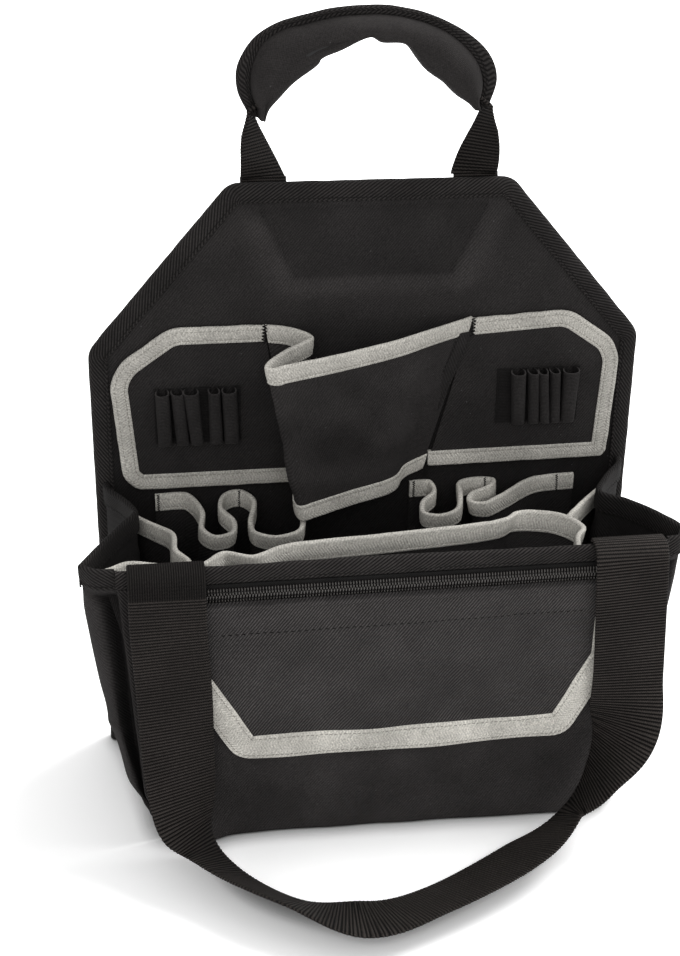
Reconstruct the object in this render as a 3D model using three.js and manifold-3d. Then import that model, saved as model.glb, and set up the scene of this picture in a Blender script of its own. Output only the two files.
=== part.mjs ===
// Zippered tool bag: an open tote with a tall stiff back panel, a tool holster and pleated
// pockets on it, folded side gussets, a zipped pocket on the front, a padded handle and a strap.
// Millimetres, +Z up, the front towards -Y, the origin on the floor under the middle of the base.

import * as THREE from "three";
import { mergeVertices } from "three/addons/utils/BufferGeometryUtils.js";
import Module from "manifold-3d";

const wasm = await Module();
wasm.setup();

// Thicknesses and the play between layers
const clearance = 0.3;
const cloth = 1.5;
const blackTape = 1.2;
const greyTape = 0.8;
const bindingWidth = 12.5;
const greyTapeWidth = 11.5;
const webbing = 2;

// The box
const baseDepth = 118;
const baseFrontHalf = 153;
const baseRearHalf = 183;
const baseBoard = 3;
const boardInset = 5;
const frontWall = 2.4;
const wallFootHalf = 152;
const wallKneeHalf = 164;
const wallKneeHeight = 40;
const wallRimHalf = 175.5;
const rimHeight = 210.5;
const rimBindingWidth = 12.5;

// The back panel
const lean = THREE.MathUtils.degToRad(2);
const panelHalf = 188;
const panelShoulder = 305;
const panelTopHalf = 93;
const panelHeight = 415;
const panelFoot = 1.2;
const panelCornerRadius = 16;
const panelBoard = 3;
const embossDepth = 0.6;
const embossTopHalf = 75;
const embossFootHalf = 52;
const embossMiddle = 1.5;
const embossDrop = 17;
const embossHeight = 46;

// The gussets
const gussetRearHalf = 181;
const creaseShare = 0.76;
const gussetLobe = { left: 21.5, right: 16 };
const gussetFold = { left: 16.5, right: 26 };
const gussetCorner = { left: 0.07, right: 0.11 };
const gussetApex = { left: 0.625, right: 0.565 };

// The tool panel, its holster and its loops
const loopPitch = 11.6;
const loopCount = 5;
const loopHeight = 40;
const loopReach = 9;
const loopWall = 0.9;
const loopBase = 1;
const holsterMouthHeight = 320;
const holsterFootHeight = 203;
const holsterDip = 0.35;
const holsterFootDip = 0.31;
const holsterFootRise = 0.09;
const holsterSeamRoom = 4.5;

// The pockets inside
const rearPocketHeight = 200;
const rearPocketFoot = 75;
const rearPocketDip = 0.33;
const sidePocketHeight = 200;
const sidePocketFoot = 60;
const frontPocketHeight = 205;
const frontPocketFoot = 55;

// The zipped pocket on the front
const zipDrop = 18;
const zipTapeReach = 11.5;
const zipSlit = 1.2;
const zipTape = 0.6;
const coilHeight = 2.6;
const coilDepth = 1.6;
const coilPitch = 2.4;
const zipPocketLeft = -145;
const zipPocketRight = 149;
const zipPocketGap = 5.5;
const zipPocketFoot = 68;
const zipPocketDepth = 2.4;
const zipEndStop = 4;
const sliderX = 138;
const sliderWidth = 9;

// The carrying strap and the handle
const strapWidth = 48;
const strapAnchorHeight = 22;
const strapLeftX = -146;
const strapRightX = 150;
const handleWidth = 30;
const handleLegX = 70;
const handleAnchorFoot = 330;
const legSteps = 12;
const legTurnStart = 4;
const legTurnEnd = 36;
const gripWebbingWidth = 15;
const gripWebbing = 2.4;
const gripHalfDepth = 14;
const gripCloth = 1.8;
const finHeight = 8;
const finHalf = 1.5;

// Places that follow from the sizes above
const frontFace = -baseDepth / 2;
const gussetCrease = baseDepth * creaseShare;
const wallBack = frontFace + frontWall;
const zipHeight = rimHeight - zipDrop;
const zipPocketTop = zipHeight - zipPocketGap;
const boxFloor = cloth + clearance;
const bindingStack = clearance + blackTape;
const panelThickness = 2 * cloth + panelBoard + 2 * clearance;
const wingCentre = -(clearance + greyTape + clearance + cloth / 2);
const wingFront = wingCentre - cloth / 2;
const handleAnchorBack = panelThickness + clearance + webbing;
const handleHingeOut = panelThickness + bindingStack + clearance + webbing + clearance + webbing / 2;
const handleHingeHeight = panelHeight + clearance + webbing / 2;
const strapHingeY = wallBack + bindingStack + clearance + webbing / 2;
const strapHingeZ = rimHeight + bindingStack + clearance + webbing / 2;

// Materials
const finish = (color, roughness, metalness = 0) =>
  new THREE.MeshStandardMaterial({ color, roughness, metalness });
const polyester = finish(0x242323, 0.85);
const twill = finish(0x2c2b2b, 0.8);
const blackBinding = finish(0x1b1a1a, 0.9);
const greyBinding = finish(0xc6c2b8, 0.85);
const strapWeb = finish(0x211f1d, 0.75);
const elastic = finish(0x171616, 0.95);
const stiffener = finish(0x3a3a3a, 0.6);
const foam = finish(0x2f2f2f, 0.95);
const nylonZip = finish(0x151515, 0.5);
const blackMetal = finish(0x1a1a1a, 0.35, 0.8);

const bag = new THREE.Group();
const back = new THREE.Group();
back.position.y = baseDepth / 2;
back.rotation.x = -lean;
bag.add(back);

// Six times the volume inside an indexed mesh, negative when its faces point inwards
function windingVolume(geometry) {
  const corner = [0, 1, 2].map(() => new THREE.Vector3());
  const { index } = geometry;
  let total = 0;
  for (let i = 0; i < index.count; i += 3) {
    corner.forEach((p, k) => p.fromBufferAttribute(geometry.attributes.position, index.getX(i + k)));
    total += corner[0].dot(corner[1].clone().cross(corner[2]));
  }
  return total;
}

function fromTriangles(positions, triangles) {
  const geometry = new THREE.BufferGeometry();
  geometry.setAttribute("position", new THREE.Float32BufferAttribute(positions, 3));
  geometry.setIndex(triangles);
  if (windingVolume(geometry) < 0) geometry.setIndex(triangles.reverse());
  geometry.computeVertexNormals();
  return geometry;
}

function toSolid(geometry) {
  const bare = geometry.clone();
  bare.deleteAttribute("normal");
  bare.deleteAttribute("uv");
  const merged = mergeVertices(bare, 1e-4);
  return new wasm.Manifold(
    new wasm.Mesh({
      numProp: 3,
      vertProperties: merged.attributes.position.array,
      triVerts: new Uint32Array(merged.index.array),
    }),
  );
}

function toGeometry(solid) {
  const { vertProperties, triVerts } = solid.getMesh();
  return fromTriangles(Array.from(vertProperties), Array.from(triVerts));
}

function join(...geometries) {
  return toGeometry(geometries.map(toSolid).reduce((sum, piece) => sum.add(piece)));
}

function cut(geometry, tool) {
  return toGeometry(toSolid(geometry).subtract(toSolid(tool)));
}

function piece(name, geometry, material, group = bag) {
  const mesh = new THREE.Mesh(geometry, material);
  mesh.name = name;
  group.add(mesh);
}

function block([x0, x1], [y0, y1], [z0, z1]) {
  const box = new THREE.BoxGeometry(x1 - x0, y1 - y0, z1 - z0);
  return box.translate((x0 + x1) / 2, (y0 + y1) / 2, (z0 + z1) / 2);
}

// An outline in X and Z made into a plate between two depths
function plate(outline, y0, y1) {
  const shape = new THREE.Shape(outline);
  const solid = new THREE.ExtrudeGeometry(shape, { depth: y1 - y0, bevelEnabled: false });
  return solid.rotateX(Math.PI / 2).translate(0, y1, 0);
}

// An outline in X and Y made into a slab between two heights
function slab(outline, z0, z1) {
  const shape = new THREE.Shape(outline);
  const solid = new THREE.ExtrudeGeometry(shape, { depth: z1 - z0, bevelEnabled: false });
  return solid.translate(0, 0, z0);
}

const point = (x, z) => new THREE.Vector2(x, z);
const space = (x, y, z) => new THREE.Vector3(x, y, z);
const mix = THREE.MathUtils.lerp;

// The mesh between rings of equal count, closed at both ends by the given triangles. Sides that
// face each other have their diagonals alike, so that thin cloth keeps its thickness where it
// twists: by default these are the two halves of a ring.
function loft(rings, capTriangles, facesBack = (side, sides) => 2 * side >= sides) {
  const sides = rings[0].length;
  const positions = rings.flat().flatMap((p) => [p.x, p.y, p.z]);
  const last = (rings.length - 1) * sides;
  const triangles = [];
  for (let start = 0; start < last; start += sides) {
    for (let s = 0; s < sides; s += 1) {
      const a = start + s;
      const b = start + ((s + 1) % sides);
      if (facesBack(s, sides)) triangles.push(a, b, a + sides, b, b + sides, a + sides);
      else triangles.push(a, b, b + sides, a, b + sides, a + sides);
    }
  }
  for (const [a, b, c] of capTriangles) {
    triangles.push(a, c, b);
    triangles.push(last + a, last + b, last + c);
  }
  return fromTriangles(positions, triangles);
}

// End triangles of a section whose points pair up across it, first with last
function pairedCap(pairs) {
  const triangles = [];
  for (let j = 0; j + 1 < pairs; j += 1) {
    const across = 2 * pairs - 1 - j;
    triangles.push([j, j + 1, across - 1], [j, across - 1, across]);
  }
  return triangles;
}

function smooth(points, steps) {
  const curve = new THREE.CatmullRomCurve3(points, false, "centripetal");
  return curve.getPoints((points.length - 1) * steps);
}

// The same line kept in front of the back panel by the cloth's own seat
const offTheWall = (line) => line.map((p) => space(p.x, Math.min(p.y, wingCentre), p.z));

// Level directions square to a line seen from above
function planNormals(line) {
  return line.map((_, i) => {
    const before = line[Math.max(i - 1, 0)];
    const after = line[Math.min(i + 1, line.length - 1)];
    return space(before.y - after.y, after.x - before.x, 0).normalize();
  });
}

const shifted = (from, direction, distance) => from.clone().addScaledVector(direction, distance);

// Cloth that runs through level lines of equal count, one above another
function sheet(lines, thickness) {
  const normals = lines.map(planNormals);
  const rings = lines[0].map((_, i) => {
    const near = lines.map((line, j) => shifted(line[i], normals[j][i], thickness / 2));
    const far = lines.map((line, j) => shifted(line[i], normals[j][i], -thickness / 2));
    return [...near, ...far.reverse()];
  });
  return loft(rings, pairedCap(lines.length));
}

// A tape folded over an edge. It covers the edge from the low line to the crown; the seat line
// is the inside of its fold. The sides are the directions that its two flaps lie in. A tape that
// hangs is folded over a lower edge.
function foldedTape({ low, seat, crown, lowSides, topSides, inner, outer, hangs = false }) {
  const rings = low.map((foot, i) => [
    shifted(foot, lowSides[i], outer),
    shifted(crown[i], topSides[i], outer),
    shifted(crown[i], topSides[i], -outer),
    shifted(foot, lowSides[i], -outer),
    shifted(foot, lowSides[i], -inner),
    shifted(seat[i], topSides[i], -inner),
    shifted(seat[i], topSides[i], inner),
    shifted(foot, lowSides[i], inner),
  ]);
  const cap = [[0, 1, 6], [0, 6, 7], [1, 2, 5], [1, 5, 6], [2, 3, 4], [2, 4, 5]];
  return loft(rings, cap, (side) => side % 4 >= 2 !== hangs);
}

// Tape over the upper (up = 1) or lower (up = -1) edge of a sheet, down to a line on the sheet
function sheetTape(edge, low, up, thickness) {
  const raise = (height) => edge.map((p) => p.clone().add(space(0, 0, up * height)));
  return foldedTape({
    low,
    seat: raise(clearance),
    crown: raise(clearance + thickness),
    lowSides: planNormals(low),
    topSides: planNormals(edge),
    inner: cloth / 2 + clearance,
    outer: cloth / 2 + clearance + thickness,
    hangs: up < 0,
  });
}

// A clockwise line of corners moved inwards, with each corner rounded
function edgePath(corners, radius, inset) {
  const edges = corners.slice(1).map((end, i) => {
    const along = end.clone().sub(corners[i]).normalize();
    const inwards = point(along.y, -along.x);
    return { start: corners[i].clone().addScaledVector(inwards, inset), along };
  });
  const path = [edges[0].start];
  for (let i = 1; i < edges.length; i += 1) {
    const [before, after] = [edges[i - 1], edges[i]];
    const turn = before.along.cross(after.along);
    const reach = after.start.clone().sub(before.start).cross(after.along) / turn;
    const corner = before.start.clone().addScaledVector(before.along, reach);
    const half = Math.abs(Math.asin(turn)) / 2;
    const tangent = Math.max(radius - inset, 0.6) * Math.tan(half);
    const bend = new THREE.QuadraticBezierCurve(
      corner.clone().addScaledVector(before.along, -tangent),
      corner,
      corner.clone().addScaledVector(after.along, tangent),
    );
    path.push(...bend.getPoints(3));
  }
  const end = edges[edges.length - 1];
  const finalLength = corners[corners.length - 1].distanceTo(corners[corners.length - 2]);
  const lastCorner = corners[corners.length - 2].clone();
  const lastInwards = point(end.along.y, -end.along.x);
  path.push(lastCorner.addScaledVector(end.along, finalLength).addScaledVector(lastInwards, inset));
  return path;
}

// Binding round the edge of a flat panel that lies between two depths
function panelBinding(corners, radius, [front, rear], thickness, width) {
  const middle = (front + rear) / 2;
  const at = (inset) => edgePath(corners, radius, inset).map((p) => space(p.x, middle, p.y));
  const low = at(width);
  const sides = low.map(() => space(0, 1, 0));
  const inner = (rear - front) / 2 + clearance;
  return foldedTape({
    low,
    seat: at(thickness),
    crown: at(0),
    lowSides: sides,
    topSides: sides,
    inner,
    outer: inner + thickness,
  });
}

function panelOutline(foot) {
  return [
    point(-panelHalf, foot),
    point(-panelHalf, panelShoulder),
    point(-panelTopHalf, panelHeight),
    point(panelTopHalf, panelHeight),
    point(panelHalf, panelShoulder),
    point(panelHalf, foot),
  ];
}

// The pressed trapezoid near the top of the front skin
function embossOutline() {
  const top = panelHeight - embossDrop;
  const foot = top - embossHeight;
  return [
    point(embossMiddle - embossTopHalf, top), point(embossMiddle + embossTopHalf, top),
    point(embossMiddle + embossFootHalf, foot), point(embossMiddle - embossFootHalf, foot),
  ];
}

function backPanel() {
  const corners = panelOutline(panelFoot);
  const layer = edgePath(corners, panelCornerRadius, bindingStack);
  const board = edgePath(corners, panelCornerRadius, bindingStack + 2);
  const boardFront = cloth + clearance;
  const skin = plate(layer, 0, cloth);
  piece("back_front_skin", join(skin, plate(embossOutline(), -embossDepth, cloth / 2)), polyester, back);
  piece("back_stiffener_board", plate(board, boardFront, boardFront + panelBoard), stiffener, back);
  piece("back_rear_skin", plate(layer, panelThickness - cloth, panelThickness), polyester, back);
  const binding = panelBinding(corners, panelCornerRadius, [0, panelThickness], blackTape, bindingWidth);
  piece("back_edge_binding", binding, blackBinding, back);
}

// The tool panel: left and right cloth panels with a holster between them
const holsterWall = -wingCentre;
const toolPanelEdge = {
  left: [[-160, 205], [-169, 214], [-175, 284], [-167, 298], [-134, 321]],
  right: [[137, 324], [169, 302], [175, 288], [172, 222], [162, 213]],
};
const toolPanelRadius = 8;
const holsterMouth = [
  [-71, holsterWall], [-58, 3], [-45, 7], [-41, 11], [-47, 17], [-58, 25], [-73, 39],
  [-76, 46], [-70, 47], [-66, 45], [-32, 36], [16, 22], [40, 13], [69, holsterWall],
];
const holsterFoot = [
  [-50, holsterWall], [-50.5, 5], [-51.5, 9], [-52, 14], [-52.5, 19], [-53, 25], [-52.5, 31],
  [-50, 36], [-46, 36], [-41, 34.5], [-16, 28], [15, 20], [22, 10], [38, holsterWall],
];

function toolPanel(side, corners) {
  const depths = [wingFront, wingFront + cloth];
  const inset = greyTape + clearance;
  piece(`tool_panel_${side}`, plate(edgePath(corners, toolPanelRadius, inset), ...depths), polyester, back);
  const binding = panelBinding(corners, toolPanelRadius, depths, greyTape, greyTapeWidth);
  piece(`tool_panel_${side}_binding`, binding, greyBinding, back);
}

// Each tool panel runs from the holster's seam round its own outer corners and back to the seam
function toolPanels() {
  const corners = (edge) => edge.map(([x, up]) => point(x, up));
  const left = corners(toolPanelEdge.left);
  const right = corners(toolPanelEdge.right);
  const seamTop = { left: holsterMouth[0][0] - 2 * clearance, right: holsterMouth.at(-1)[0] + 2 * clearance };
  const seamFoot = { left: holsterFoot[0][0] - holsterSeamRoom, right: holsterFoot.at(-1)[0] + holsterSeamRoom };
  toolPanel("left", [point(seamFoot.left, left[0].y), ...left, point(seamTop.left, left.at(-1).y)]);
  toolPanel("right", [point(seamTop.right, holsterMouthHeight), ...right, point(seamFoot.right, right.at(-1).y - 1)]);
}

function holster() {
  const mouthPoints = holsterMouth.map(([x, out]) =>
    space(x, -out, holsterMouthHeight - holsterDip * (out - holsterWall)),
  );
  const footPoints = holsterFoot.map(([x, out]) => {
    const rise = holsterFootRise * (x - holsterFoot[0][0]);
    return space(x, -out, holsterFootHeight + rise - holsterFootDip * (out - holsterWall));
  });
  const mouth = offTheWall(smooth(mouthPoints, 2));
  const foot = offTheWall(smooth(footPoints, 2));
  const down = (share) => mouth.map((p, i) => p.clone().lerp(foot[i], share));
  const share = greyTapeWidth / (holsterMouthHeight - holsterFootHeight);
  const lines = [foot, down(1 - share), down(share), mouth];
  piece("holster_pocket", sheet(lines, cloth), polyester, back);
  piece("holster_top_binding", sheetTape(mouth, lines[2], 1, greyTape), greyBinding, back);
  piece("holster_bottom_binding", sheetTape(foot, lines[1], -1, greyTape), greyBinding, back);
}

// One strip of elastic sewn down between its loops, seen from above: X across, Y out of the panel
function bitLoops(side, left, foot) {
  const seat = wingFront - clearance;
  const width = loopCount * loopPitch;
  const crown = seat - loopReach;
  const floor = seat - loopBase;
  const outline = [point(left, seat)];
  const holes = [];
  const arch = (x0, x1, top, bottom) => [
    point(x0, bottom), point(x0, mix(bottom, top, 0.75)), point(mix(x0, x1, 0.25), top),
    point(mix(x0, x1, 0.75), top), point(x1, mix(bottom, top, 0.75)), point(x1, bottom),
  ];
  for (let k = 0; k < loopCount; k += 1) {
    const x0 = left + k * loopPitch + loopWall;
    const x1 = left + (k + 1) * loopPitch - loopWall;
    outline.push(...arch(x0, x1, crown, floor));
    const hole = arch(x0 + loopWall, x1 - loopWall, crown + loopWall, floor);
    holes.push(new THREE.Path(hole));
  }
  outline.push(point(left + width, floor), point(left + width, seat));
  outline.splice(1, 0, point(left, floor));
  const shape = new THREE.Shape(outline);
  shape.holes = holes;
  const solid = new THREE.ExtrudeGeometry(shape, { depth: loopHeight, bevelEnabled: false });
  piece(`bit_loops_${side}`, solid.translate(0, 0, foot), elastic, back);
}

// Twin pleated pockets on the back panel. The mouth stands out in folds, given as [across, out];
// the foot lies flat on the panel.
const rearPocketFolds = {
  left: [
    [-148, 0], [-127, 2], [-117, 19], [-118, 35], [-110, 43], [-98, 40], [-96, 31], [-104, 17],
    [-101, 6], [-90, 0], [-81, 11], [-85, 32], [-83, 41], [-71, 46], [-53, 42], [-48, 26], [-47, 0],
  ],
  right: [
    [30, 0], [44, 2], [46, 12], [36, 22], [35, 32], [47, 35], [59, 30], [64, 15], [65, 6], [74, 1],
    [84, 0], [90, 4], [86, 10], [72, 16], [69, 23], [78, 26], [93, 19], [118, 5], [149, 0],
  ],
};

function rearPocket(side) {
  const folds = rearPocketFolds[side];
  const wall = -wingCentre;
  const [first, last] = [folds[0][0], folds.at(-1)[0]];
  const level = (height, fullness) =>
    folds.map(([x, out], i) => {
      const flat = mix(first, last, i / (folds.length - 1));
      const reach = Math.max(out * fullness, wall);
      return space(mix(flat, x, fullness), -reach, height - rearPocketDip * (reach - wall));
    });
  const rim = level(rearPocketHeight, 1);
  const base = level(rearPocketFoot, 0);
  const share = greyTapeWidth / (rearPocketHeight - rearPocketFoot);
  const belly = level(mix(rearPocketFoot, rearPocketHeight, 0.5), 0.72);
  const tapeFoot = rim.map((p, i) => p.clone().lerp(belly[i], 2 * share));
  const lines = [base, belly, tapeFoot, rim].map((points) => offTheWall(smooth(points, 2)));
  piece(`rear_pocket_${side}`, sheet(lines, cloth), polyester, back);
  piece(`rear_pocket_${side}_binding`, sheetTape(lines[3], lines[2], 1, greyTape), greyBinding, back);
}

// Half of the front wall's width at a height
function wallHalf(z) {
  if (z < wallKneeHeight) return mix(wallFootHalf, wallKneeHalf, (z - boxFloor) / (wallKneeHeight - boxFloor));
  return mix(wallKneeHalf, wallRimHalf, (z - wallKneeHeight) / (rimHeight - wallKneeHeight));
}

// The depth of a plane in front of the back panel's skin, at a height
const panelY = (z, proud) => baseDepth / 2 - proud / Math.cos(lean) + z * Math.tan(lean);

// The middle of a side gusset at a height: out in a lobe behind the front corner, then folded
// inwards to an apex, then back to the panel
function gussetLine(side, z) {
  const sign = side === "left" ? -1 : 1;
  const fullness = THREE.MathUtils.clamp((z - boxFloor) / (gussetCrease - boxFloor), 0, 1);
  const fullnessAbove = THREE.MathUtils.clamp((z - gussetCrease) / gussetCrease, 0, 1);
  const lobe = gussetLobe[side] * (mix(0.08, 0.82, fullness) + 0.18 * fullnessAbove);
  const fold = gussetFold[side] * fullness;
  const corner = gussetCorner[side];
  const apex = gussetApex[side];
  const yFront = wallBack + bindingStack + clearance + cloth / 2;
  const yRear = panelY(z, bindingStack + 2 * clearance);
  const front = wallHalf(z) + clearance;
  const rear = mix(gussetRearHalf - 1, gussetRearHalf, z / rimHeight);
  const stations = [
    [0, 0, 0], [0, 0.14, 0], [0.014, 0.66, 0], [corner, 1, 0], [mix(corner, apex, 0.28), 0.52, 0],
    [mix(corner, apex, 0.76), 0, 0.42], [apex, 0, 1], [mix(apex, 1, 0.45), 0, 0.6], [0.93, 0, 0.06], [1, 0, 0],
  ];
  const line = stations.map(([depth, out, inwards]) =>
    space(sign * (mix(front, rear, depth) + lobe * out - fold * inwards), mix(yFront, yRear, depth), z),
  );
  return smooth(line, 3);
}

function gusset(side) {
  const tapeFoot = rimHeight - rimBindingWidth;
  const low = gussetCrease / 2;
  const high = mix(gussetCrease, tapeFoot, 0.47);
  const heights = [boxFloor, low, gussetCrease, high, tapeFoot, rimHeight];
  const lines = heights.map((z) => gussetLine(side, z));
  piece(`gusset_${side}`, sheet(lines, cloth), polyester);
  const bound = (line) => line.slice(3);
  const binding = sheetTape(bound(lines[5]), bound(lines[4]), 1, blackTape);
  piece(`gusset_${side}_binding`, binding, blackBinding);
}

function base() {
  const rear = panelY(0, bindingStack + clearance);
  const outline = (inset, foot) => [
    point(-baseFrontHalf + inset, foot), point(baseFrontHalf - inset, foot),
    point(baseRearHalf - inset, rear), point(-baseRearHalf + inset, rear),
  ];
  piece("base_panel", slab(outline(0, frontFace), 0, cloth), polyester);
  const board = slab(outline(boardInset, wallBack + boardInset), boxFloor, boxFloor + baseBoard);
  piece("base_board", board, stiffener);
}

function frontWallPanel() {
  const half = [boxFloor, wallKneeHeight, rimHeight].map((z) => point(wallHalf(z), z));
  const mirrored = half.map((p) => point(-p.x, p.y)).reverse();
  piece("front_wall", plate([...half, ...mirrored], frontFace, wallBack), polyester);
}

// Binding over the front wall's rim, and down each of its side seams
function frontBindings() {
  const middle = (frontFace + wallBack) / 2;
  const inner = frontWall / 2 + clearance;
  const outer = inner + blackTape;
  const bind = (name, low, seat, crown) => {
    const sides = low.map(() => space(0, 1, 0));
    const tape = foldedTape({ low, seat, crown, lowSides: sides, topSides: sides, inner, outer });
    piece(name, tape, blackBinding);
  };
  const rimEnd = wallRimHalf + bindingStack;
  const rim = (z) => [space(-rimEnd, middle, z), space(rimEnd, middle, z)];
  const rimFoot = rimHeight - rimBindingWidth;
  bind("rim_binding_front", rim(rimFoot), rim(rimHeight + clearance), rim(rimHeight + bindingStack));
  for (const [side, sign] of [["left", -1], ["right", 1]]) {
    const heights = [boxFloor + clearance, wallKneeHeight, rimFoot - clearance];
    const seam = (out) => heights.map((z) => space(sign * (wallHalf(z) + out), middle, z));
    bind(`corner_binding_${side}`, seam(-bindingWidth), seam(clearance), seam(bindingStack));
  }
}

// The pouch inside the front wall: its mouth wanders away from the wall, given as [across, out]
const frontPocketMouth = [
  [-186, 12], [-179, 15.5], [-169, 21], [-141, 14], [-123, 14], [-108, 27], [-90, 20], [-69, 31],
  [7, 39], [82, 50], [92, 58], [104, 58], [121, 51], [131, 34], [124, 22], [120, 8],
];

function frontPocket() {
  const foot = { left: -148, right: 117, out: clearance + cloth / 2 };
  const last = frontPocketMouth.length - 1;
  const level = (height, fullness) =>
    frontPocketMouth.map(([x, out], i) => {
      const across = mix(mix(foot.left, foot.right, i / last), x, fullness);
      return space(across, wallBack + mix(foot.out, out, fullness), height);
    });
  const share = (greyTapeWidth / (frontPocketHeight - frontPocketFoot));
  const lines = [
    level(frontPocketFoot, 0), level(frontPocketHeight - greyTapeWidth, 1 - share), level(frontPocketHeight, 1),
  ].map((points) => smooth(points, 2));
  piece("front_inner_pocket", sheet(lines, cloth), polyester);
  piece("front_inner_pocket_binding", sheetTape(lines[2], lines[1], 1, greyTape), greyBinding);
}

// A pocket hung inside each gusset, given as [inset from the front wall's seam, depth]
const sidePocketPath = {
  left: {
    mouth: [[11.6, 36], [16, 31], [26, 20], [36, 8], [37, -14], [44, -27], [47, -37.5]],
    foot: [[3, 34], [9, 26], [12, 16], [12, 4], [11, -14], [14, -30], [19, -47]],
  },
  right: {
    mouth: [[15, 38], [19, 34], [30, 22], [41, 9], [46, 3], [50, 0]],
    foot: [[9, 34], [15, 24], [19, 10], [19, -8], [18, -26], [20, -45]],
  },
};

function sidePocket(side) {
  const sign = side === "left" ? -1 : 1;
  const level = (path, z) => path.map(([inset, y]) => space(sign * (wallHalf(z) - inset), y, z));
  const mouth = smooth(level(sidePocketPath[side].mouth, sidePocketHeight), 2);
  const foot = smooth(level(sidePocketPath[side].foot, sidePocketFoot), 2);
  const share = greyTapeWidth / (sidePocketHeight - sidePocketFoot);
  const tapeFoot = mouth.map((p, i) => p.clone().lerp(foot[i], share));
  piece(`side_pocket_${side}`, sheet([foot, tapeFoot, mouth], cloth), polyester);
  piece(`side_pocket_${side}_binding`, sheetTape(mouth, tapeFoot, 1, greyTape), greyBinding);
}

// Outline of the zipped pocket, moved inwards: down one side, round the foot, up the other
function zipPocketEdge(inset, top) {
  const corners = [
    point(zipPocketRight, top), point(zipPocketRight, zipPocketFoot + 60),
    point(zipPocketRight - 30, zipPocketFoot), point(zipPocketLeft + 41, zipPocketFoot),
    point(zipPocketLeft, zipPocketFoot + 72), point(zipPocketLeft, top),
  ];
  return edgePath(corners, 18, inset);
}

function zipPocket() {
  const back0 = frontFace - clearance;
  const inside = back0 - zipPocketDepth;
  const front = inside - cloth;
  const shell = plate(zipPocketEdge(0, zipPocketTop), front, back0);
  const hollow = plate(zipPocketEdge(cloth, zipPocketTop + cloth), inside, back0 + cloth);
  piece("zip_pocket_panel", cut(shell, hollow), twill);
  const tapeBack = front - clearance;
  const tape = [...zipPocketEdge(0, zipPocketTop), ...zipPocketEdge(18, zipPocketTop).reverse()];
  piece("zip_pocket_tape", plate(tape, tapeBack - greyTape, tapeBack), greyBinding);
}

// One row of the zip's coil: a strip with a ridge at each turn, seen from above
function coilRow([x0, x1], [y0, y1], z0) {
  const turns = Math.floor((x1 - x0) / coilPitch);
  const outline = [point(x0, y1)];
  for (let k = 0; k < turns; k += 1) {
    outline.push(point(x0 + k * coilPitch, y0 + 0.6), point(x0 + (k + 0.5) * coilPitch, y0));
  }
  outline.push(point(x1, y0 + 0.6), point(x1, y1));
  return slab(outline, z0, z0 + coilHeight);
}

function zip() {
  const rimBindingFace = frontFace - clearance - blackTape;
  const tapeBack = rimBindingFace - clearance;
  const tapeFront = tapeBack - zipTape;
  const coilBack = tapeFront - clearance;
  const coilFront = coilBack - coilDepth;
  const half = zipSlit / 2;
  const run = [zipPocketLeft + cloth + 2 * clearance, zipPocketRight - cloth - 2 * clearance];
  const coilRun = [run[0] + zipEndStop + clearance, run[1] - zipEndStop - clearance];
  const upper = zipHeight + half;
  const lower = zipHeight - half;
  piece("zip_tape_upper", block(run, [tapeFront, tapeBack], [upper, upper + zipTapeReach]), nylonZip);
  piece("zip_tape_lower", block(run, [tapeFront, tapeBack], [lower - zipTapeReach, lower]), nylonZip);
  piece("zip_coil_upper", coilRow(coilRun, [coilFront, coilBack], upper), nylonZip);
  piece("zip_coil_lower", coilRow(coilRun, [coilFront, coilBack], lower - coilHeight), nylonZip);
  const stop = [lower - coilHeight, upper + coilHeight];
  const stopDepth = [coilBack - 1, coilBack];
  piece("zip_end_stop_left", block([run[0], run[0] + zipEndStop], stopDepth, stop), blackBinding);
  piece("zip_end_stop_right", block([run[1] - zipEndStop, run[1]], stopDepth, stop), blackBinding);
  zipSlider({ tapeBack, coilFront, reach: half + coilHeight });
}

// The slider: a plate behind the tapes, a neck between them, a shield in front and a bridge
function zipSlider({ tapeBack, coilFront, reach }) {
  const half = sliderWidth / 2;
  const across = [sliderX - half, sliderX + half];
  const shieldBack = coilFront - clearance;
  const shieldFront = shieldBack - 1.2;
  const backPlate = block(across, [tapeBack + clearance, frontFace - clearance], [zipHeight - reach, zipHeight + reach]);
  const neck = block([sliderX - 1.2, sliderX + 1.2], [shieldFront, frontFace - clearance], [zipHeight - 0.4, zipHeight + 0.4]);
  const shield = plate([
    point(across[1], zipHeight + reach), point(across[1], zipHeight - reach),
    point(sliderX, zipHeight - reach - 1.5), point(across[0], zipHeight - reach + 1),
    point(across[0], zipHeight + reach - 1), point(sliderX, zipHeight + reach + 1.5),
  ], shieldFront, shieldBack);
  const bridgeFront = shieldFront - 2.2;
  const post = (z) => block([sliderX - 1, sliderX + 1], [bridgeFront, shieldFront + 0.4], [z, z + 1.2]);
  const bridge = block([sliderX - 1, sliderX + 1], [bridgeFront, bridgeFront + 1], [zipHeight - 3, zipHeight + 3]);
  const posts = [post(zipHeight - 3), post(zipHeight + 1.8)];
  piece("zip_slider", join(backPlate, neck, shield, bridge, ...posts), blackMetal);
  zipPull({ back: shieldFront - 0.2, front: bridgeFront + 1.2 });
}

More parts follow.
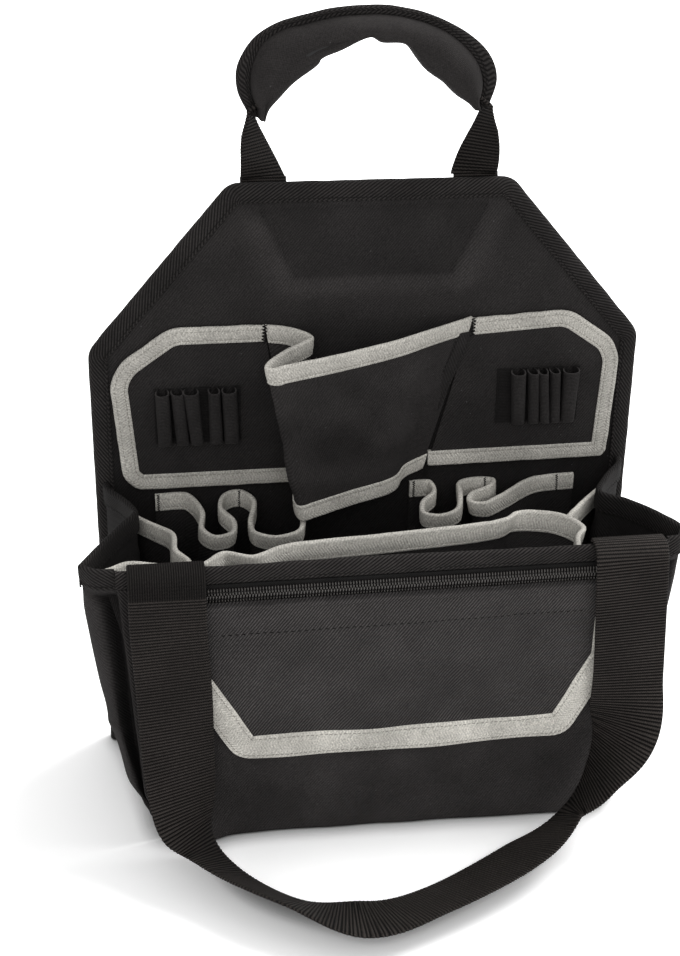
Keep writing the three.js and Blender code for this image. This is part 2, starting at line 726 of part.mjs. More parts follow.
// The pull: a wire frame whose top bar runs under the slider's bridge, with a flat tab below
function zipPull({ back: near, front: far }) {
  const top = zipHeight + 1.2;
  const foot = zipHeight - 34;
  const frame = plate([
    point(sliderX - 3, top), point(sliderX + 3, top), point(sliderX + 3.6, foot + 6),
    point(sliderX + 1.8, foot), point(sliderX - 1.8, foot), point(sliderX - 3.6, foot + 6),
  ], far, near);
  const window = block([sliderX - 1.4, sliderX + 1.4], [far - 1, near + 1], [zipHeight - 4.4, zipHeight - 0.9]);
  const tab = block([sliderX - 3, sliderX + 3], [far - 0.8, near], [foot + 6, zipHeight - 12]);
  piece("zip_pull", join(cut(frame, window), tab), blackMetal);
}

// A band of webbing through stations of { at, across, width, thick }
function band(stations) {
  const rings = stations.map(({ at, across, width, thick }, i) => {
    const before = stations[Math.max(i - 1, 0)].at;
    const after = stations[Math.min(i + 1, stations.length - 1)].at;
    const along = after.clone().sub(before).normalize();
    const side = shifted(across, along, -across.dot(along)).normalize();
    const face = along.clone().cross(side);
    const corner = (s, f) => shifted(shifted(at, side, (s * width) / 2), face, (f * thick) / 2);
    return [corner(1, 1), corner(-1, 1), corner(-1, -1), corner(1, -1)];
  });
  return loft(rings, pairedCap(2));
}

// The strap's middle line with the direction across its width, from the left anchor to the right
function strapRoute() {
  const over = (x, way) => [
    [x, strapHingeY, strapHingeZ, way, 0, 0], [x, strapHingeY - 6.2, strapHingeZ + 0.3, way, 0, 0],
    [x, strapHingeY - 12.2, strapHingeZ - 2.3, way, 0, 0], [x, strapHingeY - 15.7, strapHingeZ - 9.3, way, 0, 0],
  ];
  const right = over(strapRightX, -1).reverse();
  return [
    ...over(strapLeftX, 1),
    [-146, -71.5, 176, 1, 0, 0],
    [-144, -74, 132, 0.99, 0.06, -0.12],
    [-142, -83, 71, 0.91, 0.25, -0.34],
    [-137, -96, 34, 0.69, 0.46, -0.56],
    [-118, -115, 20, 0.5, 0.62, -0.6],
    [-77, -149, 18, 0.2, 0.78, -0.6],
    [-33, -163, 13, 0.21, 0.94, -0.28],
    [14, -151, 12, 0.1, 0.92, -0.37],
    [78, -120, 15, -0.03, 0.93, -0.36],
    [117, -94, 24, -0.1, 0.78, -0.6],
    [138, -88, 50, -0.4, 0.63, -0.67],
    [152, -82, 78, -0.67, 0.54, -0.5],
    [154, -75, 115, -0.99, 0.02, -0.17],
    [152, -71.5, 168, -1, 0, 0],
    ...right,
  ];
}

function strap() {
  const route = strapRoute();
  const line = smooth(route.map(([x, y, z]) => space(x, y, z)), 3);
  const across = smooth(route.map((station) => space(station[3], station[4], station[5])), 3);
  const stations = line.map((at, i) => ({ at, across: across[i], width: strapWidth, thick: webbing }));
  piece("front_strap", band(stations), strapWeb);
  const seat = strapHingeY - webbing / 2;
  const top = rimHeight + bindingStack;
  for (const [side, x] of [["left", strapLeftX], ["right", strapRightX]]) {
    const half = strapWidth / 2;
    const anchor = block([x - half, x + half], [seat, seat + webbing], [top - strapAnchorHeight, top]);
    piece(`strap_anchor_${side}`, anchor, strapWeb);
  }
}

// The grip's silhouette above the panel: its lower and upper edges, as [across, above the hinge]
const gripLower = [
  [-68, 39], [-64, 45], [-58, 53], [-46, 64], [-33, 75], [-16, 82], [-1, 87], [15, 83], [28, 71],
  [42, 59], [54, 51], [60, 46], [64, 41],
];
const gripUpper = [
  [-85, 46], [-87, 60], [-84, 76], [-72, 90], [-49, 100], [-24, 105], [0, 107], [20, 105], [43, 98],
  [66, 86], [78, 74], [81, 60], [81, 47],
];

const onHandle = ([x, above]) => space(x, handleHingeOut, handleHingeHeight + above);

// Stations of the grip, each with its lower edge, its upward direction and its height
function gripStations() {
  const low = smooth(gripLower.map(onHandle), 2);
  const high = smooth(gripUpper.map(onHandle), 2);
  return low.map((at, i) => {
    const up = high[i].clone().sub(at);
    const height = up.length();
    return { at, up: up.normalize(), height };
  });
}

// The grip's outer section: an egg with a sewn fin along its top
function gripSection({ at, up, height }) {
  const body = height - finHeight;
  const finTop = height - bindingStack;
  const half = gripHalfDepth;
  return sectionRing(at, up, [
    [0, half * 0.45], [body * 0.16, half * 0.86], [body * 0.5, half], [body * 0.82, half * 0.6],
    [body, finHalf], [finTop, finHalf],
  ]);
}

// The section of the sleeve's hollow, kept inside its cloth
function gripHollow({ at, up, height }, inset) {
  const body = height - finHeight;
  const half = gripHalfDepth - inset;
  return sectionRing(at, up, [
    [inset, half * 0.4], [inset + body * 0.12, half * 0.8], [body * 0.5, half],
    [body * 0.75 - inset * 0.4, half * 0.55], [body - inset * 1.2, 0.5],
  ]);
}

function sectionRing(at, up, pairs) {
  const side = (sign) => pairs.map(([rise, out]) => shifted(at, up, rise).add(space(0, sign * out, 0)));
  return [...side(-1), ...side(1).reverse()];
}

// The same stations with both ends drawn out, for a tool that cuts right through
function drawnOut(stations, distance) {
  const first = stations[0];
  const last = stations[stations.length - 1];
  const away = (end, next) => end.at.clone().sub(next.at).normalize();
  const start = { ...first, at: shifted(first.at, away(first, stations[1]), distance) };
  const end = { ...last, at: shifted(last.at, away(last, stations[stations.length - 2]), distance) };
  return [start, ...stations, end];
}

// The webbing of the handle: flat on the panel at its feet, turned on edge inside the grip
function handleStations(grip) {
  const legShares = Array.from({ length: legSteps - 1 }, (_, i) => (i + 1) / legSteps);
  const middle = grip.map(({ at, up, height }) => shifted(at, up, (height - finHeight) * 0.5));
  const hinge = (sign) => onHandle([sign * handleLegX, 0]);
  const leg = (foot, top) => legShares.map((share) => foot.clone().lerp(top, share));
  const left = hinge(-1);
  const right = hinge(1);
  const line = [left, ...leg(left, middle[0]), ...middle, ...leg(right, middle.at(-1)).reverse(), right];
  return line.map((at, i) => {
    const turned = THREE.MathUtils.smoothstep(at.z - handleHingeHeight, legTurnStart, legTurnEnd);
    const way = i < line.length / 2 ? 1 : -1;
    return {
      at,
      across: space(way * (1 - turned), turned, 0),
      width: mix(handleWidth, gripWebbingWidth, turned),
      thick: mix(webbing, gripWebbing, turned),
    };
  });
}

function handle() {
  const grip = gripStations();
  const web = handleStations(grip);
  const cap = pairedCap(6);
  const hollow = (stations, inset) => loft(stations.map((s) => gripHollow(s, inset)), pairedCap(5));
  const sleeve = loft(grip.map(gripSection), cap);
  piece("handle_wrap", cut(sleeve, hollow(drawnOut(grip, 5), gripCloth)), polyester, back);
  const slot = web.map((s) => ({ ...s, width: s.width + 2 * clearance, thick: s.thick + 2 * clearance }));
  const core = hollow(grip, gripCloth + clearance);
  piece("handle_foam", cut(core, band(slot)), foam, back);
  piece("handle_webbing", band(web), strapWeb, back);
  const along = (rise) => grip.map(({ at, up, height }) => shifted(at, up, height - rise));
  const sides = grip.map(() => space(0, 1, 0));
  const binding = foldedTape({
    low: along(finHeight - clearance),
    seat: along(blackTape),
    crown: along(0),
    lowSides: sides,
    topSides: sides,
    inner: finHalf + clearance,
    outer: finHalf + clearance + blackTape,
  });
  piece("handle_wrap_binding", binding, blackBinding, back);
}

// The sewn ends of the handle's webbing on the back, bent out over the edge binding
function handleAnchors() {
  const seat = panelThickness + clearance;
  const over = panelThickness + bindingStack + clearance;
  const bend = panelHeight - bindingWidth - clearance;
  const profile = [
    point(seat, handleAnchorFoot), point(handleAnchorBack, handleAnchorFoot),
    point(handleAnchorBack, bend - 4), point(over + webbing, bend - 1),
    point(over + webbing, panelHeight), point(over, panelHeight),
    point(over, bend - clearance), point(seat, bend - 3),
  ];
  const turn = new THREE.Matrix4().makeBasis(space(0, 1, 0), space(0, 0, 1), space(1, 0, 0));
  for (const [side, x] of [["left", -handleLegX], ["right", handleLegX]]) {
    const shape = new THREE.Shape(profile);
    const strip = new THREE.ExtrudeGeometry(shape, { depth: handleWidth, bevelEnabled: false });
    strip.applyMatrix4(turn).translate(x - handleWidth / 2, 0, 0);
    piece(`handle_anchor_${side}`, strip, strapWeb, back);
  }
}

backPanel();
toolPanels();
holster();
bitLoops("left", -146, 239);
bitLoops("right", 89, 243);
for (const side of ["left", "right"]) {
  rearPocket(side);
  sidePocket(side);
  gusset(side);
}
frontPocket();
base();
frontWallPanel();
frontBindings();
zipPocket();
zip();
strap();
handle();
handleAnchors();

export default bag;
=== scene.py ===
import math

import bpy
import numpy as np
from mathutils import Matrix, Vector


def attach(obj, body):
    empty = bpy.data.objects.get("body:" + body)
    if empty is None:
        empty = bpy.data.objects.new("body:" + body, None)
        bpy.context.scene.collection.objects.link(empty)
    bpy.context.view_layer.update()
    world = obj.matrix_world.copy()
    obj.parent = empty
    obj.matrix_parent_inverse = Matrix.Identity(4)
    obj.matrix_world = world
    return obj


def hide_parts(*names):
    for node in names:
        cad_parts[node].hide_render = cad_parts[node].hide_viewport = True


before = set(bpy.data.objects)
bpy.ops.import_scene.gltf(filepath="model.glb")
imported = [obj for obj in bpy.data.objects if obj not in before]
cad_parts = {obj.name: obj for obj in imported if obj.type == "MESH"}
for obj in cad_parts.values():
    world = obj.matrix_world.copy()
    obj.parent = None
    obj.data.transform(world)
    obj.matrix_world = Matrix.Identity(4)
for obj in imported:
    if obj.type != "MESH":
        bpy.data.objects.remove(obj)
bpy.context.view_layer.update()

MM = 0.001

# Layers of the sewn shell
CLOTH = 1.5
PLAY = 0.3
BLACK_TAPE = 1.2
GREY_TAPE = 0.8
BINDING_WIDTH = 12.5
GREY_WIDTH = 11.5
WEBBING = 2.0
BINDING_STACK = PLAY + BLACK_TAPE
CLOTH_INNER = CLOTH / 2 + PLAY
TAPE_FACE = CLOTH_INNER + GREY_TAPE

# The side that left and right pieces lie on
SIGNS = {"left": -1, "right": 1}

# The box
BASE_DEPTH = 118.0
BASE_FRONT_HALF = 153.0
BASE_REAR_HALF = 183.0
FRONT_WALL = 2.4
WALL_FOOT_HALF = 152.0
WALL_KNEE_HALF = 164.0
WALL_KNEE_HEIGHT = 40.0
WALL_RIM_HALF = 175.5
RIM_HEIGHT = 210.5
BOX_FLOOR = CLOTH + PLAY
FRONT_FACE = -BASE_DEPTH / 2
WALL_BACK = FRONT_FACE + FRONT_WALL

# The back panel, which leans to the rear
LEAN = math.radians(2)
PANEL_HALF = 188.0
PANEL_SHOULDER = 305.0
PANEL_TOP_HALF = 93.0
PANEL_HEIGHT = 415.0
PANEL_FOOT = 1.2
PANEL_CORNER_RADIUS = 16.0
PANEL_THICKNESS = 6.6

# The tool panel on the back panel: the middle and the front of its cloth
WING_CENTRE = -(PLAY + GREY_TAPE + PLAY + CLOTH / 2)
WING_FRONT = WING_CENTRE - CLOTH / 2

# How much painted shade darkens a cloth below its fabric's colour, or, below 0, how much painted light makes it paler
WING_DARK = 0.25
POCKET_DARK = 0.6
FRONT_POCKET_DARK = 0.5
HEM_DARK = 0.5
HANDLE_WEB_DARK = 0.4
RIM_PAINTED_LIGHT = -0.45
STRAP_PAINTED_LIGHT = -0.45
U_TAPE_PAINTED_LIGHT = -0.8

CLOTH_ATTRIBUTE = "cloth"
ACROSS, REARWARDS, UP = np.eye(3)
FORWARDS = np.array([0.0, -1.0, 0.0])


# Lines and surfaces

def mix(low, high, share):
    return low + (high - low) * share


def xyz(*parts):
    """Points, or places on flat cloth, from their coordinates; one number may stand for all of them."""
    return np.stack(np.broadcast_arrays(*parts), axis=-1)


def unit(vectors):
    """The same directions with the length 1."""
    return vectors / np.maximum(np.linalg.norm(vectors, axis=-1, keepdims=True), 1e-9)


def on_back(points):
    """Places on the leaning back panel, given as across, towards the rear, and up the panel."""
    p = np.asarray(points, float)
    y = p[..., 1] * math.cos(LEAN) + p[..., 2] * math.sin(LEAN) + BASE_DEPTH / 2
    z = p[..., 2] * math.cos(LEAN) - p[..., 1] * math.sin(LEAN)
    return xyz(p[..., 0], y, z)


def back_turn(directions):
    """Directions on the leaning back panel, turned into the frame's."""
    return on_back(directions) - on_back(np.zeros(3))


def upright(path, depth):
    """A line on the back panel, drawn as [across, up], at a depth."""
    return on_back(xyz(path[:, 0], depth, path[:, 1]))


PANEL_FORWARDS = back_turn(FORWARDS)
PANEL_REARWARDS = back_turn(REARWARDS)


def smooth(points, steps):
    """A centripetal curve through points, with that many steps between each two."""
    p = np.asarray(points, float)
    p = np.vstack([2 * p[:1] - p[1:2], p, 2 * p[-1:] - p[-2:-1]])
    t = np.linspace(0, 1, steps, endpoint=False)[:, None]
    runs = []
    for a, b, c, d in zip(p, p[1:], p[2:], p[3:]):
        ab, bc, cd = (max(np.linalg.norm(q), 1e-6) ** 0.5 for q in (b - a, c - b, d - c))
        start = ((b - a) / ab - (c - a) / (ab + bc) + (c - b) / bc) * bc
        end = ((c - b) / bc - (d - b) / (bc + cd) + (d - c) / cd) * bc
        square = 3 * (c - b) - 2 * start - end
        cube = 2 * (b - c) + start + end
        runs.append(b + start * t + square * t**2 + cube * t**3)
    return np.vstack([*runs, p[-2:-1]])


def between(lines, steps):
    """Rows of a sheet that runs smoothly through lines of equal count."""
    lines = np.stack(lines)
    return smooth(lines.reshape(len(lines), -1), steps).reshape(-1, *lines.shape[1:])


def level_normals(line):
    """Level directions square to a line seen from above."""
    way = np.vstack([line[1:], line[-1:]]) - np.vstack([line[:1], line[:-1]])
    return unit(xyz(-way[:, 1], way[:, 0], 0))


def lengths_along(path):
    return np.r_[0, np.cumsum(np.linalg.norm(np.diff(path, axis=0), axis=1))]


def resampled(path, far, at):
    """A path's points at distances, where far holds the distance of each of its own points."""
    return np.stack([np.interp(at, far, path[:, k]) for k in range(path.shape[1])], axis=1)


def spaced(path, step):
    """Points at even distances along a path."""
    path = np.asarray(path, float)
    far = lengths_along(path)
    at = np.linspace(0, far[-1], max(2, int(round(far[-1] / step)) + 1))
    return resampled(path, far, at)


def off_the_wall(line):
    """Keeps a pocket's line in front of the back panel's skin."""
    kept = line.copy()
    kept[:, 1] = np.minimum(kept[:, 1], WING_CENTRE)
    return kept


def surface_normals(grid):
    return unit(np.cross(np.gradient(grid, axis=1), np.gradient(grid, axis=0)))


def flat_cloth(grid):
    """How far each point of a sheet lies along and up the flat cloth, in millimetres."""
    across = np.linalg.norm(np.diff(grid, axis=1), axis=2).mean(axis=0)
    up = np.linalg.norm(np.diff(grid, axis=0), axis=2).mean(axis=1)
    along, high = np.meshgrid(np.r_[0, np.cumsum(across)], np.r_[0, np.cumsum(up)])
    return xyz(along, high, 0)


def patch(half, up, columns):
    """A flat sheet that reaches half to each side at each height: across, up, and both as places on its cloth."""
    across = half[:, None] * np.linspace(-1, 1, columns)
    level = np.repeat(up[:, None], columns, axis=1)
    return across, level, xyz(across, level, 0)


def crumple(cloth, size, seed, waves=26):
    """Random soft folds of about that size over flat cloth, mostly from -1 to 1."""
    draw = np.random.default_rng(seed)
    turn = draw.uniform(0, 2 * math.pi, waves)
    pitch = size * draw.uniform(0.6, 1.8, waves)
    start = draw.uniform(0, 2 * math.pi, waves)
    way = cloth[..., 0, None] * np.cos(turn) + cloth[..., 1, None] * np.sin(turn)
    return np.sin(way * 2 * math.pi / pitch + start).sum(axis=-1) / math.sqrt(waves)


def hump(value, middle, width):
    """1 at the middle, and falls off to both sides over that width."""
    return np.exp(-(((value - middle) / width) ** 2))


def ease(value, low, high):
    """Runs smoothly from 0 at low to 1 at high, and stays there beyond them."""
    t = np.clip((value - low) / (high - low), 0, 1)
    return t * t * (3 - 2 * t)


def edge_path(corners, radius, inset, step=3.0, bend=6):
    """A clockwise line of corners moved inwards, each corner rounded, with the same count at any inset."""
    corners = np.asarray(corners, float)
    radii = np.broadcast_to(radius, len(corners) - 2)
    sides = np.diff(corners, axis=0)
    along = unit(sides)
    inwards = xyz(along[:, 1], -along[:, 0])
    starts = corners[:-1] + inset * inwards
    counts = [max(2, int(np.linalg.norm(side) / step)) for side in sides]
    path, here = [], starts[0]
    for i in range(1, len(sides)):
        before, after = along[i - 1], along[i]
        turn = before[0] * after[1] - before[1] * after[0]
        gap = starts[i] - starts[i - 1]
        corner = starts[i - 1] + before * (gap[0] * after[1] - gap[1] * after[0]) / turn
        reach = max(radii[i - 1] - inset, 0.6) * math.tan(abs(math.asin(turn)) / 2)
        first, last = corner - reach * before, corner + reach * after
        path.append(here + (first - here) * np.linspace(0, 1, counts[i - 1], endpoint=False)[:, None])
        t = np.linspace(0, 1, bend, endpoint=False)[:, None]
        path.append((1 - t) ** 2 * first + 2 * t * (1 - t) * corner + t**2 * last)
        here = last
    end = corners[-1] + inset * inwards[-1]
    path.append(here + (end - here) * np.linspace(0, 1, counts[-1])[:, None])
    return np.vstack(path)


# Meshes: a form is its points, its faces and where each point lies on the flat cloth

def quads(index):
    return np.stack([index[:-1, :-1], index[:-1, 1:], index[1:, 1:], index[1:, :-1]], -1).reshape(-1, 4)


def shell(grid, thickness=CLOTH, cloth=None):
    """A sheet of cloth of that thickness, through the grid's points."""
    rows, columns = grid.shape[:2]
    count = rows * columns
    lift = surface_normals(grid) * thickness / 2
    cloth = flat_cloth(grid) if cloth is None else cloth
    index = np.arange(count).reshape(rows, columns)
    rim = np.concatenate([index[0], index[1:, -1], index[-1, -2::-1], index[-2:0:-1, 0]])
    after = np.roll(rim, -1)
    edge = np.stack([after, rim, rim + count, after + count], axis=1)
    faces = np.vstack([quads(index), quads(index + count)[:, ::-1], edge])
    points = np.vstack([(grid + lift).reshape(-1, 3), (grid - lift).reshape(-1, 3)])
    return points, faces.tolist(), np.vstack([cloth.reshape(-1, 3)] * 2)


def rolled(rings, across):
    """The point numbers of rings, each closed on itself, and where their points lie on the flat cloth."""
    count, sides = rings.shape[:2]
    index = np.arange(count * sides).reshape(count, sides)
    along = lengths_along(rings.mean(axis=1))
    return np.hstack([index, index[:, :1]]), xyz(np.repeat(along, sides), np.tile(across, count), 0)


def skin(rings, across):
    """A closed body through rings of points, with a cap at each end."""
    loop, cloth = rolled(rings, across)
    faces = quads(loop).tolist() + [loop[0, -2::-1].tolist(), loop[-1, :-1].tolist()]
    return rings.reshape(-1, 3), faces, cloth


def sleeve(outer, inner, across):
    """A tube with a wall, through matching outer and inner rings, open at both ends."""
    loop, cloth = rolled(outer, across)
    inside = loop + len(cloth)
    ends = []
    for row, order in ((0, 1), (-1, -1)):
        a, b = loop[row], inside[row]
        ends.append(np.stack([a[1:], a[:-1], b[:-1], b[1:]], axis=1)[:, ::order])
    faces = np.vstack([quads(loop), quads(inside)[:, ::-1], *ends])
    return np.vstack([outer.reshape(-1, 3), inner.reshape(-1, 3)]), faces.tolist(), np.vstack([cloth, cloth])


def together(forms):
    """Several forms as one."""
    points, faces, cloth, start = [], [], [], 0
    for places, ring, flat in forms:
        points.append(places)
        cloth.append(flat)
        faces += [[i + start for i in face] for face in ring]
        start += len(places)
    return np.vstack(points), faces, np.vstack(cloth)


def piece(name, form, material, body="root", replaces=None, sharp=52):
    """Makes the mesh object of a form, in metres, its faces outwards, with its cloth places as an attribute."""
    points, faces, cloth = form
    triangles = [face[:3] for face in faces] + [face[:1] + face[2:] for face in faces if len(face) == 4]
    if np.linalg.det(points[np.array(triangles)] - points.mean(axis=0)).sum() < 0:
        faces = [face[::-1] for face in faces]
    mesh = bpy.data.meshes.new(name)
    mesh.from_pydata((points * MM).tolist(), [], faces)
    places = mesh.attributes.new(CLOTH_ATTRIBUTE, "FLOAT_VECTOR", "POINT")
    places.data.foreach_set("vector", cloth.astype(np.float32).ravel())
    mesh.shade_smooth()
    mesh.set_sharp_from_angle(angle=math.radians(sharp))
    obj = bpy.data.objects.new(name, mesh)
    bpy.context.scene.collection.objects.link(obj)
    mesh.materials.append(material)
    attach(obj, body)
    if replaces:
        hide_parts(replaces)
    return obj


def sheet(name, grid, flat, node):
    """A piece of the bag's plain cloth, in the place of one CAD node."""
    piece(name, shell(grid, CLOTH, flat), polyester, replaces=node)


def sew(name, stitches, thread=None, body="root"):
    """All the stitches of a seam as one piece."""
    piece(name, together(stitches), thread or black_thread, body)


def tape_section(height, inner, thickness):
    """The section of a tape folded over an edge: [share of the height, height added, sideways]."""
    outer = inner + thickness
    round_top = min(outer, 0.35 * height)
    foot = [(0, 0.0, outer - 0.45), (0, 0.5, outer - 0.1), (0, 1.6, outer), (0, 2.3, outer - 0.28),
            (0, 3.0, outer), (0, 0.5 * height, outer + 0.12)]
    turn = [math.radians(a) for a in (0, 22, 45, 68, 90)]
    crown = [(1, (math.sin(a) - 1) * round_top, outer * math.cos(a) ** 0.85 if a < 1.57 else 0) for a in turn]
    rising = foot + crown
    falling = [(a, b, -s) for a, b, s in rising[-2::-1]]
    inside = [(0, 0.0, -inner + 0.25), (0, 1.5, -inner), (1, -thickness - 1.2, -inner), (1, -thickness, -0.4 * inner),
              (1, -thickness, 0.4 * inner), (1, -thickness - 1.2, inner), (0, 1.5, inner), (0, 0.0, inner - 0.25)]
    return np.array(rising + falling + inside), len(rising) - 1


def folded_tape(low, crown, low_side, top_side, inner, thickness, pucker, seed):
    """A tape over an edge: low is where its two flaps end on the cloth, crown the top of its fold."""
    rise = crown - low
    height = np.linalg.norm(rise, axis=1)
    section, top = tape_section(height.mean(), inner, thickness)
    share, added, side = section.T
    up = (share * height[:, None] + added)[..., None] * unit(rise)[:, None]
    level = (up * unit(rise)[:, None]).sum(-1, keepdims=True) / height[:, None, None]
    way = unit(low_side[:, None] * (1 - level) + top_side[:, None] * level)
    run = lengths_along(low)
    wave = pucker * crumple(xyz(run, 0), 16, seed)
    rings = low[:, None] + up + way * (side * (1 + 0.03 * wave[:, None]))[..., None]
    rings = rings + unit(rise)[:, None] * (0.12 * wave)[:, None, None] * share[:, None]
    round_it = lengths_along(rings[0])
    return skin(rings, round_it - round_it[top])


def bind(name, low, crown, sides, inner, tape, node, seed, pucker=1.0, rows=((2.4, 0.25, 0.28),), faces=(1, -1),
         rise=None, painted_shading=0.0, body="root", end=""):
    """A tape over an edge and its stitches. sides is the way that the cloth faces, or a list of the ways at low
    and at crown. A row of stitches is how far it lies above low, how deep it sinks in, and its thread's radius."""
    thickness, cloth, thread, slot = tape
    sides = sides if isinstance(sides, list) else [np.broadcast_to(sides, low.shape)] * 2
    form = folded_tape(low, crown, *sides, inner, thickness, pucker, seed)
    # Painted light and shade on the tape: paler below 0, darker above 0
    form[2][:, 2] = painted_shading(form[2][:, 0] / form[2][-1, 0]) if callable(painted_shading) else painted_shading
    piece(f"{name}_tape{end}", form, cloth, body, node)
    rise = unit(crown - low) if rise is None else rise
    stitches = []
    for sign in faces:
        for inset, sunk, radius in rows:
            seam = low + rise * inset + sign * sides[0] * (inner + thickness - sunk)
            stitches += stitch_row(seam, sign * sides[0], radius=radius)
    sew(f"{name}_stitches{end}", stitches, thread, body)


# Thread: each stitch is a small spindle half sunk in the cloth

# Share of its length, width against its radius, and how far it sinks in there
SPINDLE = ((0.0, 0.35, 0.9), (0.14, 0.85, 0.2), (0.5, 1.0, 0.0), (0.86, 0.85, 0.2), (1.0, 0.35, 0.9))


def spindle(start, end, radius, out, sides=6):
    way = end - start
    length = np.linalg.norm(way)
    way = way / max(length, 1e-9)
    side = np.cross(way, out)
    side /= max(np.linalg.norm(side), 1e-9)
    lift = np.cross(side, way)
    turn = np.linspace(0, 2 * math.pi, sides, endpoint=False)
    ring = np.cos(turn)[:, None] * side + np.sin(turn)[:, None] * lift
    rings = []
    for share, width, sink in SPINDLE:
        middle = start + way * length * share - lift * radius * sink
        rings.append(middle + ring * radius * width)
    return skin(np.array(rings), np.linspace(0, 1, sides))


def stitch_row(path, out, pitch=3.1, length=2.2, radius=0.28, proud=0.2):
    """A row of stitches along a path that lies on the cloth; out is the way the cloth faces."""
    run = lengths_along(path)
    out = np.broadcast_to(out, path.shape)
    forms = []
    at = pitch / 2
    while at + length < run[-1]:
        ends = [np.array([np.interp(d, run, path[:, k]) for k in range(3)]) for d in (at, at + length)]
        face = unit(np.array([np.interp(at, run, out[:, k]) for k in range(3)]))
        forms.append(spindle(ends[0] + face * proud, ends[1] + face * proud, radius, face))
        at += pitch
    return forms


def panel_row(start, end, **style):
    """A straight row of stitches on the back panel, in the panel's own axes."""
    return stitch_row(on_back(spaced([start, end], 2)), PANEL_FORWARDS, **style)


def bar_tack(foot, top, out, width=2.0, turns=15, radius=0.32):
    """A dense bar of thread across a seam, from its foot to its top."""
    way = unit(top - foot)
    side = np.cross(way, out) * width / 2
    forms = []
    for k in range(turns):
        sign = 1 if k % 2 else -1
        a = foot + (top - foot) * k / turns + sign * side + out * 0.1
        b = foot + (top - foot) * (k + 1) / turns - sign * side + out * 0.1
        forms.append(spindle(a, b, radius, out))
    return forms


def boxed_cross(centre, across, up, out, half_width, half_height):
    """The stitched box with a cross in it that holds the end of a webbing."""
    spots = [centre + across * x * half_width + up * y * half_height for x, y in ((-1, -1), (1, -1), (1, 1), (-1, 1))]
    rows = []
    for a, b in ((0, 1), (1, 2), (2, 3), (3, 0), (0, 2), (1, 3)):
        rows += stitch_row(spaced(np.array([spots[a], spots[b]]), 1.5), out, pitch=2.9, length=2.2)
    return rows


# Materials. A group puts out what changes over the surface; the shader stays in its material.

# Stray pale fibres: how close they lie, how large each is there, and their colour
LINT_SCALE = 95.0
LINT_SIZE = 0.045
LINT_COLOUR = (0.16, 0.16, 0.16)


class Value:
    """A number or a vector that a shader tree works out. Sums, products and the like add the nodes for them."""

    def __init__(self, socket):
        self.socket = socket
        self.tree = socket.id_data

    def math(self, kind, *others, clamp=False):
        node = self.tree.nodes.new("ShaderNodeMath")
        node.operation = kind
        node.use_clamp = clamp
        for socket, value in zip(node.inputs, (self, *others)):
            put(socket, value)
        return Value(node.outputs[0])

    def __add__(self, other):
        return self.math("ADD", other)

    def __sub__(self, other):
        return self.math("SUBTRACT", other)

    def __mul__(self, other):
        return self.math("MULTIPLY", other)

    def __truediv__(self, other):
        return self.math("DIVIDE", other)

    def scaled(self, by, plus):
        return self.math("MULTIPLY_ADD", by, plus)

    def wave(self, halves=2):
        """Its sine, where 1 is that many half turns."""
        return (self * (halves * math.pi)).math("SINE")

    def between(self, low, high, start=0.0, end=1.0):
        """Runs from low to high while the value runs from start to end."""
        limits = {"From_Min": start, "From_Max": end, "To_Min": low, "To_Max": high}
        return Value(node_of(self.tree, "ShaderNodeMapRange", Value=self, **limits).outputs[0])

    def parts(self):
        return [Value(socket) for socket in node_of(self.tree, "ShaderNodeSeparateXYZ", Vector=self).outputs]


def put(socket, value):
    """Gives a socket a constant, or the result of other nodes."""
    if isinstance(value, Value):
        socket.id_data.links.new(value.socket, socket)
    else:
        socket.default_value = (*value, 1.0) if isinstance(value, tuple) else value


def fill(node, **inputs):
    """Sets or links a node's inputs by name, with _ for a space."""
    for label, value in inputs.items():
        put(node.inputs[label.replace("_", " ")], value)
    return node


def node_of(tree, kind, **inputs):
    return fill(tree.nodes.new(kind), **inputs)


def plain_weave(Cloth, Pitch):
    """Warp and weft threads that pass over each other in turn."""
    along, up, _ = Cloth.parts()
    product = (along / Pitch).wave(1) * (up / Pitch).wave(1)
    return {"Height": product.math("ABSOLUTE"), "Over": product.math("GREATER_THAN", 0.0)}


def twill(Cloth, Pitch, Slope):
    """Slanting ridges, each cut into short floats of thread."""
    along, up, _ = Cloth.parts()
    ridge = ((along + up * Slope) / Pitch).wave().scaled(0.5, 0.5)
    return {"Height": ((along - up) / Pitch).wave(4).scaled(0.18, ridge), "Ridge": ridge}


def herringbone(Cloth, Pitch, Column, Slope):
    """Slanting ridges that change their slant from one column to the next."""
    along, up, _ = Cloth.parts()
    ridge = ((along + up.math("PINGPONG", Column) * Slope) / Pitch).wave().scaled(0.5, 0.5)
    return {"Height": (up / 0.55).wave().scaled(0.12, ridge), "Ridge": ridge}


def webbing_ribs(Cloth, Pitch, Column):
    """Close ribs across the length, split into fine lengthwise columns."""
    along, across, _ = Cloth.parts()
    column = across / Column
    rib = (along / Pitch + column.math("PINGPONG", 0.5) * 0.35).wave(1).math("ABSOLUTE")
    return {"Height": column.wave(1).math("ABSOLUTE").scaled(0.35, rib), "Ridge": rib * rib}


def mottle(Size, Fine):
    """Uneven dye, and stray pale fibres: both run over the whole object without seams."""
    tree = Size.tree
    place = Value(tree.nodes.new("ShaderNodeTexCoord").outputs["Object"])
    patches, grain = (Value(node_of(tree, "ShaderNodeTexNoise", Vector=place, Scale=scale, Detail=detail).outputs[0])
                      for scale, detail in ((Size, 4.0), (Fine, 2.0)))
    specks = node_of(tree, "ShaderNodeTexVoronoi", Vector=place, Scale=LINT_SCALE)
    lint = Value(specks.outputs["Distance"]).math("LESS_THAN", LINT_SIZE)
    return {"Patches": patches, "Grain": grain, "Lint": lint}


